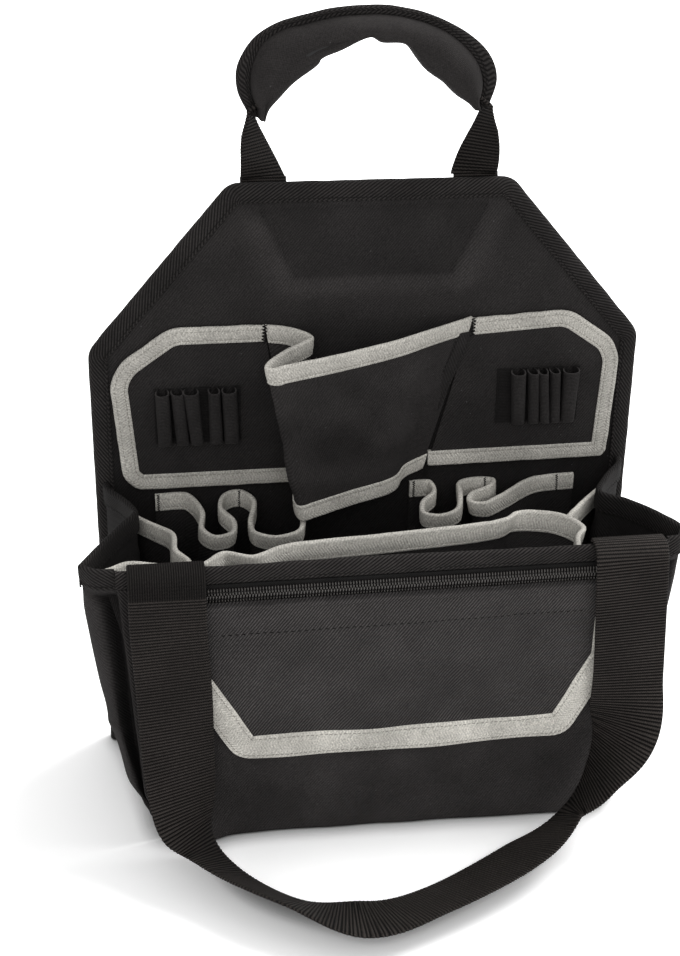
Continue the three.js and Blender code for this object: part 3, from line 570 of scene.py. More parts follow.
def group(make, **inputs):
    """A node group of what a function makes from its inputs; Cloth is a place on flat cloth, the rest are numbers."""
    tree = bpy.data.node_groups.new(make.__name__, "ShaderNodeTree")
    for label, value in inputs.items():
        kind = "NodeSocketVector" if label == "Cloth" else "NodeSocketFloat"
        socket = tree.interface.new_socket(label, in_out="INPUT", socket_type=kind)
        if value is not None:
            socket.default_value = value
    enter, leave = tree.nodes.new("NodeGroupInput"), tree.nodes.new("NodeGroupOutput")
    results = make(**{label: Value(enter.outputs[label]) for label in inputs})
    for label, value in results.items():
        tree.interface.new_socket(label, in_out="OUTPUT", socket_type="NodeSocketFloat")
        put(leave.inputs[label], value)
    return tree


GROUPS = {
    "weave": group(plain_weave, Cloth=None, Pitch=0.6),
    "twill": group(twill, Cloth=None, Pitch=1.6, Slope=1.0),
    "herringbone": group(herringbone, Cloth=None, Pitch=1.8, Column=5.0, Slope=1.0),
    "webbing": group(webbing_ribs, Cloth=None, Pitch=2.1, Column=1.3),
    "mottle": group(mottle, Size=30.0, Fine=900.0),
}


def use_group(tree, kind, **inputs):
    node = tree.nodes.new("ShaderNodeGroup")
    node.node_tree = GROUPS[kind]
    return [Value(socket) for socket in fill(node, **inputs).outputs]


def blend_colours(tree, share, first, second):
    node = tree.nodes.new("ShaderNodeMix")
    node.data_type = "RGBA"
    for number, value in ((0, share), (6, first), (7, second)):
        put(node.inputs[number], value)
    return Value(node.outputs[2])


def new_material(name):
    material = bpy.data.materials.new(name)
    material.use_nodes = True
    return material, material.node_tree, material.node_tree.nodes["Principled BSDF"]


def finish(name, tree_of, relief, **constants):
    """A new material. tree_of makes its colour, its roughness and its height from its tree; relief is in metres."""
    material, tree, shader = new_material(name)
    colour, roughness, height = tree_of(tree)
    bump = node_of(tree, "ShaderNodeBump", Distance=relief, Height=height)
    fill(shader, Base_Color=colour, Roughness=roughness, Normal=Value(bump.outputs[0]), **constants)
    return material


def cloth_material(name, kind, deep, lit, roughness, relief, lint=0.0, gloss=0.1, **weave):
    """A woven finish: deep is the colour in the furrows, a painted shade, lit on the ridges, a painted highlight;
    relief is in metres. The third value of a cloth place paints light or shade there, from -1, painted light, to 1,
    painted shade."""
    def tree_of(tree):
        place = tree.nodes.new("ShaderNodeAttribute")
        place.attribute_name = CLOTH_ATTRIBUTE
        place = Value(place.outputs["Vector"])
        height, ridge = use_group(tree, kind, Cloth=place, **weave)
        patches, grain, specks = use_group(tree, "mottle")
        uneven = grain.between(0.3, 1.7) * patches.between(0.55, 1.45)
        # Painted light and shade: the cloth place's third value scales the colour from 1.5 down to 0.5
        pressed = place.parts()[2].between(1.5, 0.5, -1.0)
        shade = tree.nodes.new("ShaderNodeVectorMath")
        shade.operation = "SCALE"
        put(shade.inputs[0], blend_colours(tree, ridge, deep, lit))
        put(shade.inputs["Scale"], uneven * pressed)
        colour = Value(shade.outputs[0])
        if lint:
            colour = blend_colours(tree, specks * lint, colour, LINT_COLOUR)
        rough = grain.between(roughness - 0.08, min(1.0, roughness + 0.08))
        return colour, rough, grain.scaled(0.25, height)

    return finish(name, tree_of, relief, Specular_IOR_Level=gloss)


def plain_material(name, colour, roughness, metallic=0.0, gloss=0.5, relief=0.0001, fine=900.0):
    """A moulded or lacquered finish with fine grain, uneven gloss and no weave."""
    def tree_of(tree):
        patches, grain, _ = use_group(tree, "mottle", Fine=fine)
        dark, light = (tuple(by * c for c in colour) for by in (0.8, 1.2))
        return blend_colours(tree, patches, dark, light), grain.between(roughness - 0.1, roughness + 0.1), grain

    return finish(name, tree_of, relief, Metallic=metallic, Specular_IOR_Level=gloss)


polyester = cloth_material("woven polyester", "twill", (0.0180, 0.0164, 0.0161), (0.0290, 0.0267, 0.0264), 0.85,
                           0.00025, lint=0.25, Pitch=2.1, Slope=-0.8)
grip_cloth = cloth_material("soft grip cloth", "weave", (0.0215, 0.0196, 0.0192), (0.0270, 0.0248, 0.0244), 0.85,
                            0.0001, lint=0.3, Pitch=0.8)
patch_twill = cloth_material("patch twill", "twill", (0.0170, 0.0155, 0.0153), (0.0760, 0.0710, 0.0700), 0.82,
                             0.0004, lint=0.4, Pitch=2.2, Slope=-0.75)
black_herringbone = cloth_material("black herringbone tape", "herringbone", (0.0055, 0.0050, 0.0049),
                                   (0.0330, 0.0300, 0.0290), 0.85, 0.0005, Pitch=3.2, Column=15.0, Slope=1.4)
grey_herringbone = cloth_material("grey herringbone tape", "herringbone", (0.400, 0.384, 0.350),
                                  (0.485, 0.468, 0.430), 0.9, 0.00025, gloss=0.15, Pitch=2.0, Column=5.6, Slope=0.55)
strap_webbing = cloth_material("ribbed webbing", "webbing", (0.0008, 0.0007, 0.0007), (0.0360, 0.0312, 0.0286), 0.78,
                               0.0006, Pitch=2.1, Column=1.5)
elastic = cloth_material("ribbed elastic", "webbing", (0.0110, 0.0101, 0.0100), (0.0310, 0.0287, 0.0282), 0.9,
                         0.0002, Pitch=1.1, Column=0.8)
zip_cloth = cloth_material("zip tape", "weave", (0.003, 0.003, 0.003), (0.014, 0.0132, 0.0128), 0.85, 0.00012,
                           Pitch=0.7)
coil_nylon = plain_material("zip coil nylon", (0.062, 0.057, 0.053), 0.4, gloss=0.45)
black_thread = plain_material("black thread", (0.0045, 0.004, 0.0038), 0.7, gloss=0.12)
# Grey thread, made darker than the tape's grey as a painted shade for the stitch lines
grey_thread_painted_shade = plain_material("grey thread", (0.25, 0.24, 0.215), 0.85, gloss=0.1)
board_plastic = plain_material("stiffener board", (0.03, 0.03, 0.03), 0.6, relief=0.0003, fine=400.0)
black_lacquer = plain_material("black lacquered metal", (0.02, 0.02, 0.02), 0.34, metallic=0.7, relief=0.00005)
soft_foam = plain_material("closed cell foam", (0.03, 0.03, 0.03), 0.9, gloss=0.2, relief=0.0006, fine=500.0)

# Tapes: thickness, cloth, thread and slot
BLACK = (BLACK_TAPE, black_herringbone, black_thread, "black_binding")
GREY = (GREY_TAPE, grey_herringbone, grey_thread_painted_shade, "grey_tape")


# The back panel

def panel_corners(foot):
    """The back panel's outline as [across, up], from the left foot clockwise."""
    return [(-PANEL_HALF, foot), (-PANEL_HALF, PANEL_SHOULDER), (-PANEL_TOP_HALF, PANEL_HEIGHT),
            (PANEL_TOP_HALF, PANEL_HEIGHT), (PANEL_HALF, PANEL_SHOULDER), (PANEL_HALF, foot)]


def across_at(path, up):
    """How far across an outline's edge lies at heights."""
    order = np.argsort(path[:, 1], kind="stable")
    return np.interp(up, path[order, 1], path[order, 0])


def half_width(path, up):
    """Half the width of a symmetric outline at heights; the outline's left half is taken."""
    return -across_at(path[path[:, 0] <= 0], up)


def ruled(left, right, rows, columns):
    """A flat patch between its left and right edges, each given from the foot up as [across, up]."""
    left, right = (resampled(edge, run, np.linspace(0, run[-1], rows))
                   for edge, run in ((edge, lengths_along(edge)) for edge in (left, right)))
    t = np.linspace(0, 1, columns)[None, :, None]
    return left[:, None] * (1 - t) + right[:, None] * t


EMBOSS_TOP = 398.0
EMBOSS_FOOT = 352.0
EMBOSS_MIDDLE = 1.5
EMBOSS_TOP_HALF = 75.0
EMBOSS_FOOT_HALF = 52.0


def emboss_half(up):
    """Half the pressed trapezoid's width at a height."""
    share = np.clip((up - EMBOSS_FOOT) / (EMBOSS_TOP - EMBOSS_FOOT), 0, 1)
    return mix(EMBOSS_FOOT_HALF, EMBOSS_TOP_HALF, share)


def emboss(across, up):
    """How far a place is inside the pressed trapezoid, from 0 outside to 1 inside."""
    inside = np.minimum(emboss_half(up) - np.abs(across - EMBOSS_MIDDLE), up - EMBOSS_FOOT)
    return ease(inside, -2.2, 1.2) * ease(EMBOSS_TOP + 6 - up, 0, 12)


def emboss_puff(across, up):
    """How far the cloth swells round the pressed trapezoid, in millimetres."""
    beside = np.maximum(np.abs(across - EMBOSS_MIDDLE) - emboss_half(up), 0)
    away = np.hypot(beside, np.maximum(EMBOSS_FOOT - up, 0))
    return 4.2 * hump(away, 9, 11) * ease(EMBOSS_TOP + 4 - up, 0, 14)


def panel_front(across, level, half):
    """How deep the middle of the back panel's front cloth lies at a place, where the panel is that wide."""
    flat = xyz(across, level)
    edge = np.minimum(half - np.abs(across), PANEL_HEIGHT - level)
    free = ease(edge, BINDING_WIDTH - 4, BINDING_WIDTH + 30) * ease(level, 322, 345)
    waves = 0.8 * crumple(flat, 95, 11) + 0.25 * crumple(flat, 34, 12)
    inside = emboss(across, level)
    return CLOTH / 2 - free * waves - 0.6 * inside - free * (1 - inside) * emboss_puff(across, level)


def emboss_stitches(outline):
    """The stitched line that holds the pressed trapezoid down."""
    corners = [(-EMBOSS_TOP_HALF, EMBOSS_TOP), (-EMBOSS_FOOT_HALF, EMBOSS_FOOT), (EMBOSS_FOOT_HALF, EMBOSS_FOOT),
               (EMBOSS_TOP_HALF, EMBOSS_TOP)]
    rows = []
    for start, end in zip(corners, corners[1:]):
        line = spaced([start, end], 2)
        across = line[:, 0] + EMBOSS_MIDDLE
        depth = panel_front(across, line[:, 1], half_width(outline, line[:, 1])) - CLOTH / 2
        path = on_back(xyz(across, depth, line[:, 1]))
        rows += stitch_row(path, PANEL_FORWARDS, pitch=3.0, length=1.9, radius=0.26, proud=0.05)
    sew("back_trapezoid_stitches", rows)


def back_skins():
    outline = edge_path(panel_corners(PANEL_FOOT), PANEL_CORNER_RADIUS, BINDING_STACK)
    up = np.linspace(PANEL_FOOT + 0.4, PANEL_HEIGHT - BINDING_STACK, 190)
    half = half_width(outline, up)
    across, level, flat = patch(half, up, columns=170)
    edge = np.minimum(half[:, None] - np.abs(across), PANEL_HEIGHT - level)
    inside = emboss(across, level)
    grid = on_back(xyz(across, panel_front(across, level, half[:, None]), level))
    # Painted light and shade: darker inside the pressed trapezoid, painted shade along its edge, painted highlights
    # on the swells
    flat[..., 2] = 0.3 * inside + 0.4 * hump(inside, 0.5, 0.3) - 0.16 * (1 - inside) * emboss_puff(across, level)
    # round it, painted shade growing towards the panel's foot and a little painted shade all over
    flat[..., 2] += 0.3 * ease(350 - level, 0, 90) + 0.6 * ease(290 - level, 0, 60) + 0.12
    sheet("back_front_cloth", grid, flat, "back_front_skin")
    emboss_stitches(outline)
    free = ease(edge, BINDING_WIDTH - 4, BINDING_WIDTH + 50)
    waves = 0.7 * crumple(flat, 120, 13) + 0.2 * crumple(flat, 40, 14)
    rear = PANEL_THICKNESS - CLOTH / 2 + free * np.maximum(waves, -0.6)
    grid = on_back(xyz(across, rear, level))
    flat[..., 2] = 0.0
    sheet("back_rear_cloth", grid, flat, "back_rear_skin")


def back_binding():
    corners = panel_corners(PANEL_FOOT)
    middle = PANEL_THICKNESS / 2
    low, crown = (upright(edge_path(corners, PANEL_CORNER_RADIUS, inset), middle) for inset in (BINDING_WIDTH, 0.0))
    bind("back_edge", low, crown, PANEL_FORWARDS, middle + PLAY, BLACK, "back_edge_binding", 21,
         rows=((2.3, 0.3, 0.3),))


# The tool panels with the holster between them

HOLSTER_MOUTH_HEIGHT = 320.0
HOLSTER_FOOT_HEIGHT = 203.0
HOLSTER_DIP = 0.35
HOLSTER_FOOT_DIP = 0.31
HOLSTER_FOOT_RISE = 0.09
HOLSTER_SEAM_ROOM = 4.5
HOLSTER_MOUTH = [(-71, -WING_CENTRE), (-58, 3), (-44, 7.5), (-41, 11), (-46, 16), (-58, 24.5), (-71, 36.5),
                 (-74, 43), (-69, 44.5), (-65, 43), (-32, 35.5), (16, 22), (40, 13), (69, -WING_CENTRE)]
HOLSTER_DROP = [0, 1.2, 3.0, 3.2, 2.6, 1.6, 0.4, 0, 0, 0, 0, 0, 0, 0]
HOLSTER_FOOT = [(-50, -WING_CENTRE), (-50.5, 5), (-51.5, 9), (-52, 14), (-52.5, 19), (-53, 25), (-52.5, 31),
                (-50, 36), (-46, 36), (-41, 34.5), (-16, 28), (15, 20), (22, 10), (38, -WING_CENTRE)]
WING_EDGE_LEFT = [(-160, 205), (-169, 214), (-175, 284), (-167, 298), (-134, 321)]
WING_EDGE_RIGHT = [(137, 324), (169, 302), (175, 288), (171.5, 217), (168, 213)]
WING_RADIUS = {"left": [10, 14, 26, 30, 26], "right": [26, 24, 24, 4, 3]}


def wing_corners(side):
    """A tool panel's outline as [across, up], from the holster's edge round and back to it."""
    if side == "left":
        top, foot = HOLSTER_MOUTH[0][0] - 2 * PLAY, HOLSTER_FOOT[0][0] - HOLSTER_SEAM_ROOM
        return [(foot, WING_EDGE_LEFT[0][1]), *WING_EDGE_LEFT, (top, WING_EDGE_LEFT[-1][1])]
    top, foot = HOLSTER_MOUTH[-1][0] + 2 * PLAY, HOLSTER_FOOT[-1][0] + HOLSTER_SEAM_ROOM
    return [(top, HOLSTER_MOUTH_HEIGHT), *WING_EDGE_RIGHT, (foot, WING_EDGE_RIGHT[-1][1] - 1)]


def tool_panel(side, seed):
    corners = wing_corners(side)
    edge = edge_path(corners, WING_RADIUS[side], GREY_TAPE + PLAY, step=2.0)
    if side == "left":
        foot = int(np.argmin(np.abs(edge[:, 0] - WING_EDGE_LEFT[0][0]) + 4 * (edge[:, 1] > 225)))
        outer = edge[foot:]
        left = outer[: int(np.argmax(outer[:, 1] > WING_EDGE_LEFT[-1][1] - GREY_TAPE - PLAY - 0.5)) + 1]
        right = np.array([edge[0], edge[-1]])
    else:
        left = np.array([edge[-1], edge[0]])
        top = int(np.argmax(edge[:, 1]))
        foot = int(np.argmax((edge[:, 1] < WING_EDGE_RIGHT[-1][1] + 3) & (np.arange(len(edge)) > top)))
        right = edge[top: foot + 1][::-1]
    flat = ruled(left, right, 80, 80)
    across, up = flat[..., 0], flat[..., 1]
    puff = np.clip(0.35 * crumple(flat, 70, seed) + 0.12 * crumple(flat, 22, seed + 1), -0.3, 0.6)
    grid = on_back(xyz(across, WING_CENTRE - puff, up))
    # Painted shade over the tool panel's cloth
    sheet(f"tool_panel_{side}_cloth", grid, xyz(across, up, WING_DARK), f"tool_panel_{side}")
    low, crown = (upright(edge_path(corners, WING_RADIUS[side], inset, step=2.0), WING_CENTRE)
                  for inset in (GREY_WIDTH, 0.0))
    bind(f"tool_panel_{side}", low, crown, PANEL_FORWARDS, CLOTH_INNER, GREY, f"tool_panel_{side}_binding", seed + 3,
         pucker=1.2, rows=((2.3, 0.25, 0.28), (8.6, 0.05, 0.2)), faces=(1,))


def mouth_tape(name, edge, low, turn, seed, node, way=1, pucker=1.2):
    """The grey tape along a pocket's mouth, or along its foot where way is -1; turn places it on the back panel."""
    crown = edge + UP * way * (PLAY + GREY_TAPE)
    sides = [level_normals(low), level_normals(edge)]
    if turn:
        low, crown, sides = on_back(low), on_back(crown), [back_turn(side) for side in sides]
    bind(name, low, crown, sides, CLOTH_INNER, GREY, node, seed, pucker)


def holster_lines(steps):
    """The holster's foot and mouth in the panel's own axes."""
    wall = -WING_CENTRE
    mouth = [(x, -out, HOLSTER_MOUTH_HEIGHT - HOLSTER_DIP * (out - wall) - drop)
             for (x, out), drop in zip(HOLSTER_MOUTH, HOLSTER_DROP)]
    start = HOLSTER_FOOT[0][0]
    foot = [(x, -out, HOLSTER_FOOT_HEIGHT + HOLSTER_FOOT_RISE * (x - start) - HOLSTER_FOOT_DIP * (out - wall))
            for x, out in HOLSTER_FOOT]
    return off_the_wall(smooth(foot, steps)), off_the_wall(smooth(mouth, steps))


def holster():
    foot, mouth = holster_lines(10)
    share = GREY_WIDTH / (HOLSTER_MOUTH_HEIGHT - HOLSTER_FOOT_HEIGHT)
    t = np.linspace(0, 1, 70)[:, None, None]
    grid = foot * (1 - t) + mouth * t
    flat = flat_cloth(grid)
    across, up = flat[..., 0], flat[..., 1] / flat[-1, 0, 1]
    out = surface_normals(grid)
    out *= np.where(out[..., 1:2] > 0, -1, 1)
    free = ease(up, share, 0.3) * ease(up, 1 - share, 0.7) * ease(-grid[..., 1], 5, 12)
    waves = 1.2 * crumple(flat, 60, 31) + 0.45 * crumple(flat, 26, 32)
    crease = -2.0 * hump(across - 90 - 55 * up, 0, 9) - 1.4 * hump(across - 150 + 60 * up, 0, 7)
    grid = grid + out * (free * (waves + crease))[..., None]
    # Painted light and shade: paler where the cloth swells out, darker in its creases, and a little paler all over
    flat[..., 2] = -0.12 * free * (waves + crease) - 0.1
    sheet("holster_cloth", on_back(grid), flat, "holster_pocket")
    for name, edge, toward, way in (("top", mouth, 1 - share, 1), ("bottom", foot, share, -1)):
        low = foot * (1 - toward) + mouth * toward
        mouth_tape(f"holster_{name}", edge, low, True, 33, f"holster_{name}_binding", way, 1.0)
    holster_seam()
    holster_tacks()


SEAM_TOP = (69.0, 310.0)
SEAM_FOOT = (33.0, 221.0)
SEAM_GAP = 8.5


def holster_seam():
    """The folded hem with two stitched rows that holds the holster's right side to the tool panel."""
    ends = np.array([(SEAM_TOP[0] - 4, SEAM_TOP[1] + 1), (SEAM_FOOT[0] - 4, SEAM_FOOT[1] - 2)])
    line = spaced(ends, 2)
    share = np.array([-1.0, -0.8, -0.3, 0.3, 0.8, 1.0])
    face = np.array([-2.6, -3.2, -2.6, -1.5, -1.0, -0.4])
    strip = xyz(line[:, None, 0] + 5.6 * share, WING_FRONT + face, line[:, None, 1])
    flat = flat_cloth(strip)
    flat[..., 2] = HEM_DARK
    piece("holster_hem", shell(on_back(strip), 0.8, flat), polyester)
    rows = []
    for shift in (0.0, -SEAM_GAP):
        depth = WING_FRONT - (3.5 if shift else 1.2)
        start, end = ((x + shift, depth, height) for x, height in (SEAM_TOP, SEAM_FOOT))
        rows += panel_row(start, end, radius=0.3)
    sew("holster_seam_stitches", rows)


def holster_tacks():
    face = WING_CENTRE - TAPE_FACE - 0.5
    bars = []
    for x, low, high in ((HOLSTER_MOUTH[0][0] - 1, 309, 321.5), (HOLSTER_MOUTH[-1][0] + 0.5, 308, 321),
                         (HOLSTER_FOOT[-1][0] + 2.5, 203, 213.5), (HOLSTER_FOOT[0][0] - 2, 204, 216)):
        bars += bar_tack(on_back((x, face, low)), on_back((x + 0.8, face, high)), PANEL_FORWARDS, width=3.4, turns=11,
                         radius=0.42)
    sew("holster_bar_tacks", bars)


# Elastic loops for bits and drivers

LOOP_HEIGHT = 40.0
LOOP_REACH = 9.6
LOOP_WALL = 0.9
LOOP_DROOP = 1.8
LOOP_STRIP = 58.0

# Each loop's middle at its foot and top, and its width there, from the strip's left end
LOOPS = {
    "left": [(6.4, 5.7, 8.6, 8.4), (18.2, 14.8, 7.8, 7.8), (27.9, 24.6, 7.8, 9.6), (40.9, 39.3, 8.0, 7.2),
             (51.4, 50.2, 9.2, 9.2)],
    "right": [(15.2, 13.6, 8.2, 9.4), (26.2, 23.2, 6.8, 6.8), (34.2, 31.0, 6.2, 6.2), (41.6, 38.4, 6.2, 6.2),
              (50.4, 50.9, 8.6, 11.0)],
}
LOOP_SECTION = [(-0.24, 0.0), (-0.36, 0.1), (-0.48, 0.34), (-0.5, 0.6), (-0.4, 0.86), (-0.2, 0.97), (0.0, 1.0),
                (0.2, 0.97), (0.4, 0.86), (0.5, 0.6), (0.48, 0.34), (0.36, 0.1), (0.24, 0.0)]


def bit_loops(side, left, foot):
    seat = WING_FRONT - PLAY - 0.6
    lines = []
    for height in (0.0, 0.1, 0.4, 0.7, 0.94, 1.0):
        level = foot + height * LOOP_HEIGHT
        run = [(left, seat, level)]
        for k, (low, high, low_wide, high_wide) in enumerate(LOOPS[side]):
            middle, wide = left + mix(low, high, height), mix(low_wide, high_wide, height)
            tilt = (0.9 if k % 2 else -0.6) * height
            reach = LOOP_REACH * mix(0.72, 1.0, math.sqrt(height)) * (0.94 if k % 2 else 1.0)
            for x, out in LOOP_SECTION:
                drop = LOOP_DROOP * out * height - 0.9 * out * (1 - height)
                run.append((middle + x * wide + tilt * out, seat - 0.3 - reach * out, level - drop))
        run.append((left + LOOP_STRIP, seat, level))
        lines.append(smooth(run, 4))
    grid = on_back(between(lines, 5))
    flat = flat_cloth(grid)
    rim = np.zeros(len(grid))
    # Painted highlights along the loops' top and foot edges, and painted shade on the strip between the loops
    rim[-1], rim[-2], rim[0] = -1.6, -0.9, -0.8
    stands = ease(on_back([0, seat, 0])[1] + grid[..., 2] * math.tan(LEAN) - grid[..., 1], 0.5, 0.6 * LOOP_REACH)
    flat = xyz(flat[..., 1], flat[..., 0], rim[:, None] * stands + 1.3 * (1 - stands))
    piece(f"bit_loops_{side}_elastic", shell(grid, LOOP_WALL, flat), elastic, replaces=f"bit_loops_{side}")
    rows = []
    between_loops = [((a[0] + b[0]) / 2, (a[1] + b[1]) / 2) for a, b in zip(LOOPS[side], LOOPS[side][1:])]
    for low, high in [(1.2, 1.2), (LOOP_STRIP - 1.2, LOOP_STRIP - 1.2), *between_loops]:
        start, end = (left + low, seat - 0.45, foot + 1), (left + high, seat - 0.45, foot + LOOP_HEIGHT - 1)
        rows += panel_row(start, end, pitch=2.4, length=1.9, radius=0.22)
    sew(f"bit_loops_{side}_stitches", rows)


# Pleated pockets inside

REAR_POCKET_HEIGHT = 200.0
REAR_POCKET_FOOT = 75.0
REAR_POCKET_DIP = 0.33
REAR_POCKET_FOLDS = {
    "left": [(-148, 0), (-127, 2), (-117, 19), (-118, 35), (-110, 43), (-98, 40), (-96, 31), (-104, 17), (-101, 6),
             (-90, 0), (-81, 11), (-85, 32), (-83, 41), (-71, 46), (-53, 42), (-48, 26), (-47, 0)],
    "right": [(30, 0), (44, 2), (46, 12), (36, 22), (35, 32), (47, 35), (59, 30), (64, 15), (65, 6), (74, 1), (84, 0),
              (90, 4), (86, 10), (72, 16), (69, 23), (78, 26), (93, 19), (118, 5), (149, 0)],
}


def pleated(folds, ends, fullness):
    """A folded line that opens out to a straight one between its ends as fullness falls to 0: [across, out]."""
    for (x, out), flat in zip(folds, np.linspace(*ends, len(folds))):
        yield mix(flat, x, fullness), out


def pocket(name, node, lines, counts, seed, shade=POCKET_DARK, turn=False):
    """A pocket's cloth and the tape along its mouth. lines run from its foot to the foot of the tape, then its rim;
    counts are the rows of the cloth between them below the tape."""
    *lower, rim = lines
    rows = [mix(low, high, t) for k, (low, high, count) in enumerate(zip(lower, lower[1:], counts))
            for t in np.linspace(0, 1, count)[min(k, 1):]]
    grid = np.stack([*rows, mix(lower[-1], rim, 0.5), rim])
    flat = flat_cloth(grid)
    # Painted shade over the pocket's cloth
    flat[..., 2] = shade
    sheet(f"{name}_cloth", on_back(grid) if turn else grid, flat, node)
    mouth_tape(name, rim, lower[-1], turn, seed, f"{node}_binding")


def rear_pocket(side, tacks, seed):
    folds = REAR_POCKET_FOLDS[side]
    wall = -WING_CENTRE

    def level(height, fullness):
        row = []
        for x, out in pleated(folds, (folds[0][0], folds[-1][0]), fullness):
            reach = max(out * fullness, wall)
            row.append((x, -reach, height - REAR_POCKET_DIP * (reach - wall)))
        return off_the_wall(smooth(row, 10))

    rim, foot = level(REAR_POCKET_HEIGHT, 1), level(REAR_POCKET_FOOT, 0)
    belly = level((REAR_POCKET_FOOT + REAR_POCKET_HEIGHT) / 2, 0.72)
    tape_foot = mix(rim, belly, 2 * GREY_WIDTH / (REAR_POCKET_HEIGHT - REAR_POCKET_FOOT))
    name = f"rear_pocket_{side}"
    pocket(name, name, (foot, belly, tape_foot, rim), (14, 12), seed, turn=True)
    bars = []
    for fold in tacks:
        i = min(max(int(fold * 10), 1), len(rim) - 5)
        low, high = (on_back(place + FORWARDS * TAPE_FACE) for place in (tape_foot[i], rim[i] + UP * 1.2))
        bars += bar_tack(low, high, PANEL_FORWARDS)
    sew(f"{name}_bar_tacks", bars)


def wall_half(z):
    """Half the front wall's width at a height: it widens fast up to the knee, then slowly."""
    below = mix(WALL_FOOT_HALF, WALL_KNEE_HALF, (z - BOX_FLOOR) / (WALL_KNEE_HEIGHT - BOX_FLOOR))
    above = mix(WALL_KNEE_HALF, WALL_RIM_HALF, (z - WALL_KNEE_HEIGHT) / (RIM_HEIGHT - WALL_KNEE_HEIGHT))
    return np.where(np.asarray(z) < WALL_KNEE_HEIGHT, below, above)


FRONT_POCKET_HEIGHT = 205.0
FRONT_POCKET_FOOT = 55.0
FRONT_POCKET_MOUTH = [(-186, 12), (-179, 15.5), (-169, 21), (-141, 14), (-123, 14), (-108, 27), (-90, 20), (-69, 31),
                      (7, 39), (82, 50), (92, 58), (104, 58), (121, 51), (131, 34), (124, 22), (120, 8)]
FRONT_POCKET_ENDS = (-148.0, 117.0)


def front_pocket():
    seat = PLAY + CLOTH / 2

    def level(height, fullness):
        return smooth([(x, WALL_BACK + mix(seat, out, fullness), height)
                       for x, out in pleated(FRONT_POCKET_MOUTH, FRONT_POCKET_ENDS, fullness)], 10)

    share = GREY_WIDTH / (FRONT_POCKET_HEIGHT - FRONT_POCKET_FOOT)
    heights = (FRONT_POCKET_FOOT, FRONT_POCKET_HEIGHT - GREY_WIDTH, FRONT_POCKET_HEIGHT)
    lines = [level(height, fullness) for height, fullness in zip(heights, (0, 1 - share, 1))]
    pocket("front_pocket", "front_inner_pocket", lines, (26,), 51, shade=FRONT_POCKET_DARK)


SIDE_POCKET_HEIGHT = 200.0
SIDE_POCKET_FOOT = 60.0
SIDE_POCKET_PATH = {
    "left": ([(11.6, 36), (16, 31), (26, 20), (36, 8), (37, -14), (44, -27), (47, -37.5)],
             [(3, 34), (9, 26), (12, 16), (12, 4), (11, -14), (14, -30), (19, -47)]),
    "right": ([(15, 38), (19, 34), (30, 22), (41, 9), (46, 3), (50, 0)],
              [(9, 34), (15, 24), (19, 10), (19, -8), (18, -26), (20, -45)]),
}


def side_pocket(side, seed):
    mouth, foot = (smooth([(SIGNS[side] * (wall_half(height) - inset), y, height) for inset, y in path], 10)
                   for height, path in zip((SIDE_POCKET_HEIGHT, SIDE_POCKET_FOOT), SIDE_POCKET_PATH[side]))
    tape_foot = mix(mouth, foot, GREY_WIDTH / (SIDE_POCKET_HEIGHT - SIDE_POCKET_FOOT))
    pocket(f"side_pocket_{side}", f"side_pocket_{side}", (foot, tape_foot, mouth), (24,), seed)


# The box: base, gussets, front wall and the bindings of its edges

GUSSET_REAR_HALF = 181.0
GUSSET_CREASE = 0.76 * BASE_DEPTH
GUSSET_LOBE = {"left": 21.5, "right": 16.0}
GUSSET_FOLD = {"left": 16.5, "right": 26.0}
GUSSET_CORNER = {"left": 0.07, "right": 0.11}
GUSSET_APEX = {"left": 0.625, "right": 0.565}


def panel_y(z, proud):
    """How far back the leaning panel's front lies at a height, less what is sewn on it."""
    return BASE_DEPTH / 2 - proud / math.cos(LEAN) + z * math.tan(LEAN)


def gusset_line(side, z, steps=8):
    """The middle of a side gusset at a height, from the front corner back to the panel."""
    sign = SIGNS[side]
    fullness = min(max((z - BOX_FLOOR) / (GUSSET_CREASE - BOX_FLOOR), 0), 1)
    above = min(max((z - GUSSET_CREASE) / GUSSET_CREASE, 0), 1)
    lobe = GUSSET_LOBE[side] * (mix(0.08, 0.82, fullness) + 0.18 * above)
    fold = GUSSET_FOLD[side] * fullness
    corner, apex = GUSSET_CORNER[side], GUSSET_APEX[side]
    y_front = WALL_BACK + BINDING_STACK + PLAY + CLOTH / 2
    y_rear = panel_y(z, BINDING_STACK + 2 * PLAY)
    front, rear = wall_half(z) + PLAY, mix(GUSSET_REAR_HALF - 1, GUSSET_REAR_HALF, z / RIM_HEIGHT)
    fold_in = 0.85 * ease(RIM_HEIGHT - BINDING_WIDTH - z, 0, 16) * ease(z, 0, 30)
    stations = [(0, 0, 0), (0.16 * fold_in, mix(0.14, 0.1, fold_in), 0),
                (mix(0.014, 0.12, fold_in), mix(0.66, 0.26, fold_in), 0),
                (mix(corner, 0.03, fold_in), mix(1, 0.6, fold_in), 0), (mix(corner, corner + 0.06, fold_in), 1, 0),
                (mix(corner, apex, 0.28), 0.52, 0), (mix(corner, apex, 0.76), 0, 0.42), (apex, 0, 1),
                (mix(apex, 1, 0.45), 0, 0.6), (0.93, 0, 0.06), (1, 0, 0)]
    line = [(sign * (mix(front, rear, depth) + lobe * out - fold * inwards), mix(y_front, y_rear, depth), z)
            for depth, out, inwards in stations]
    return smooth(line, steps)


# A place well inside a gusset's cloth, where its sideways direction tells which way the cloth faces
PROBE = (40, 40, 0)


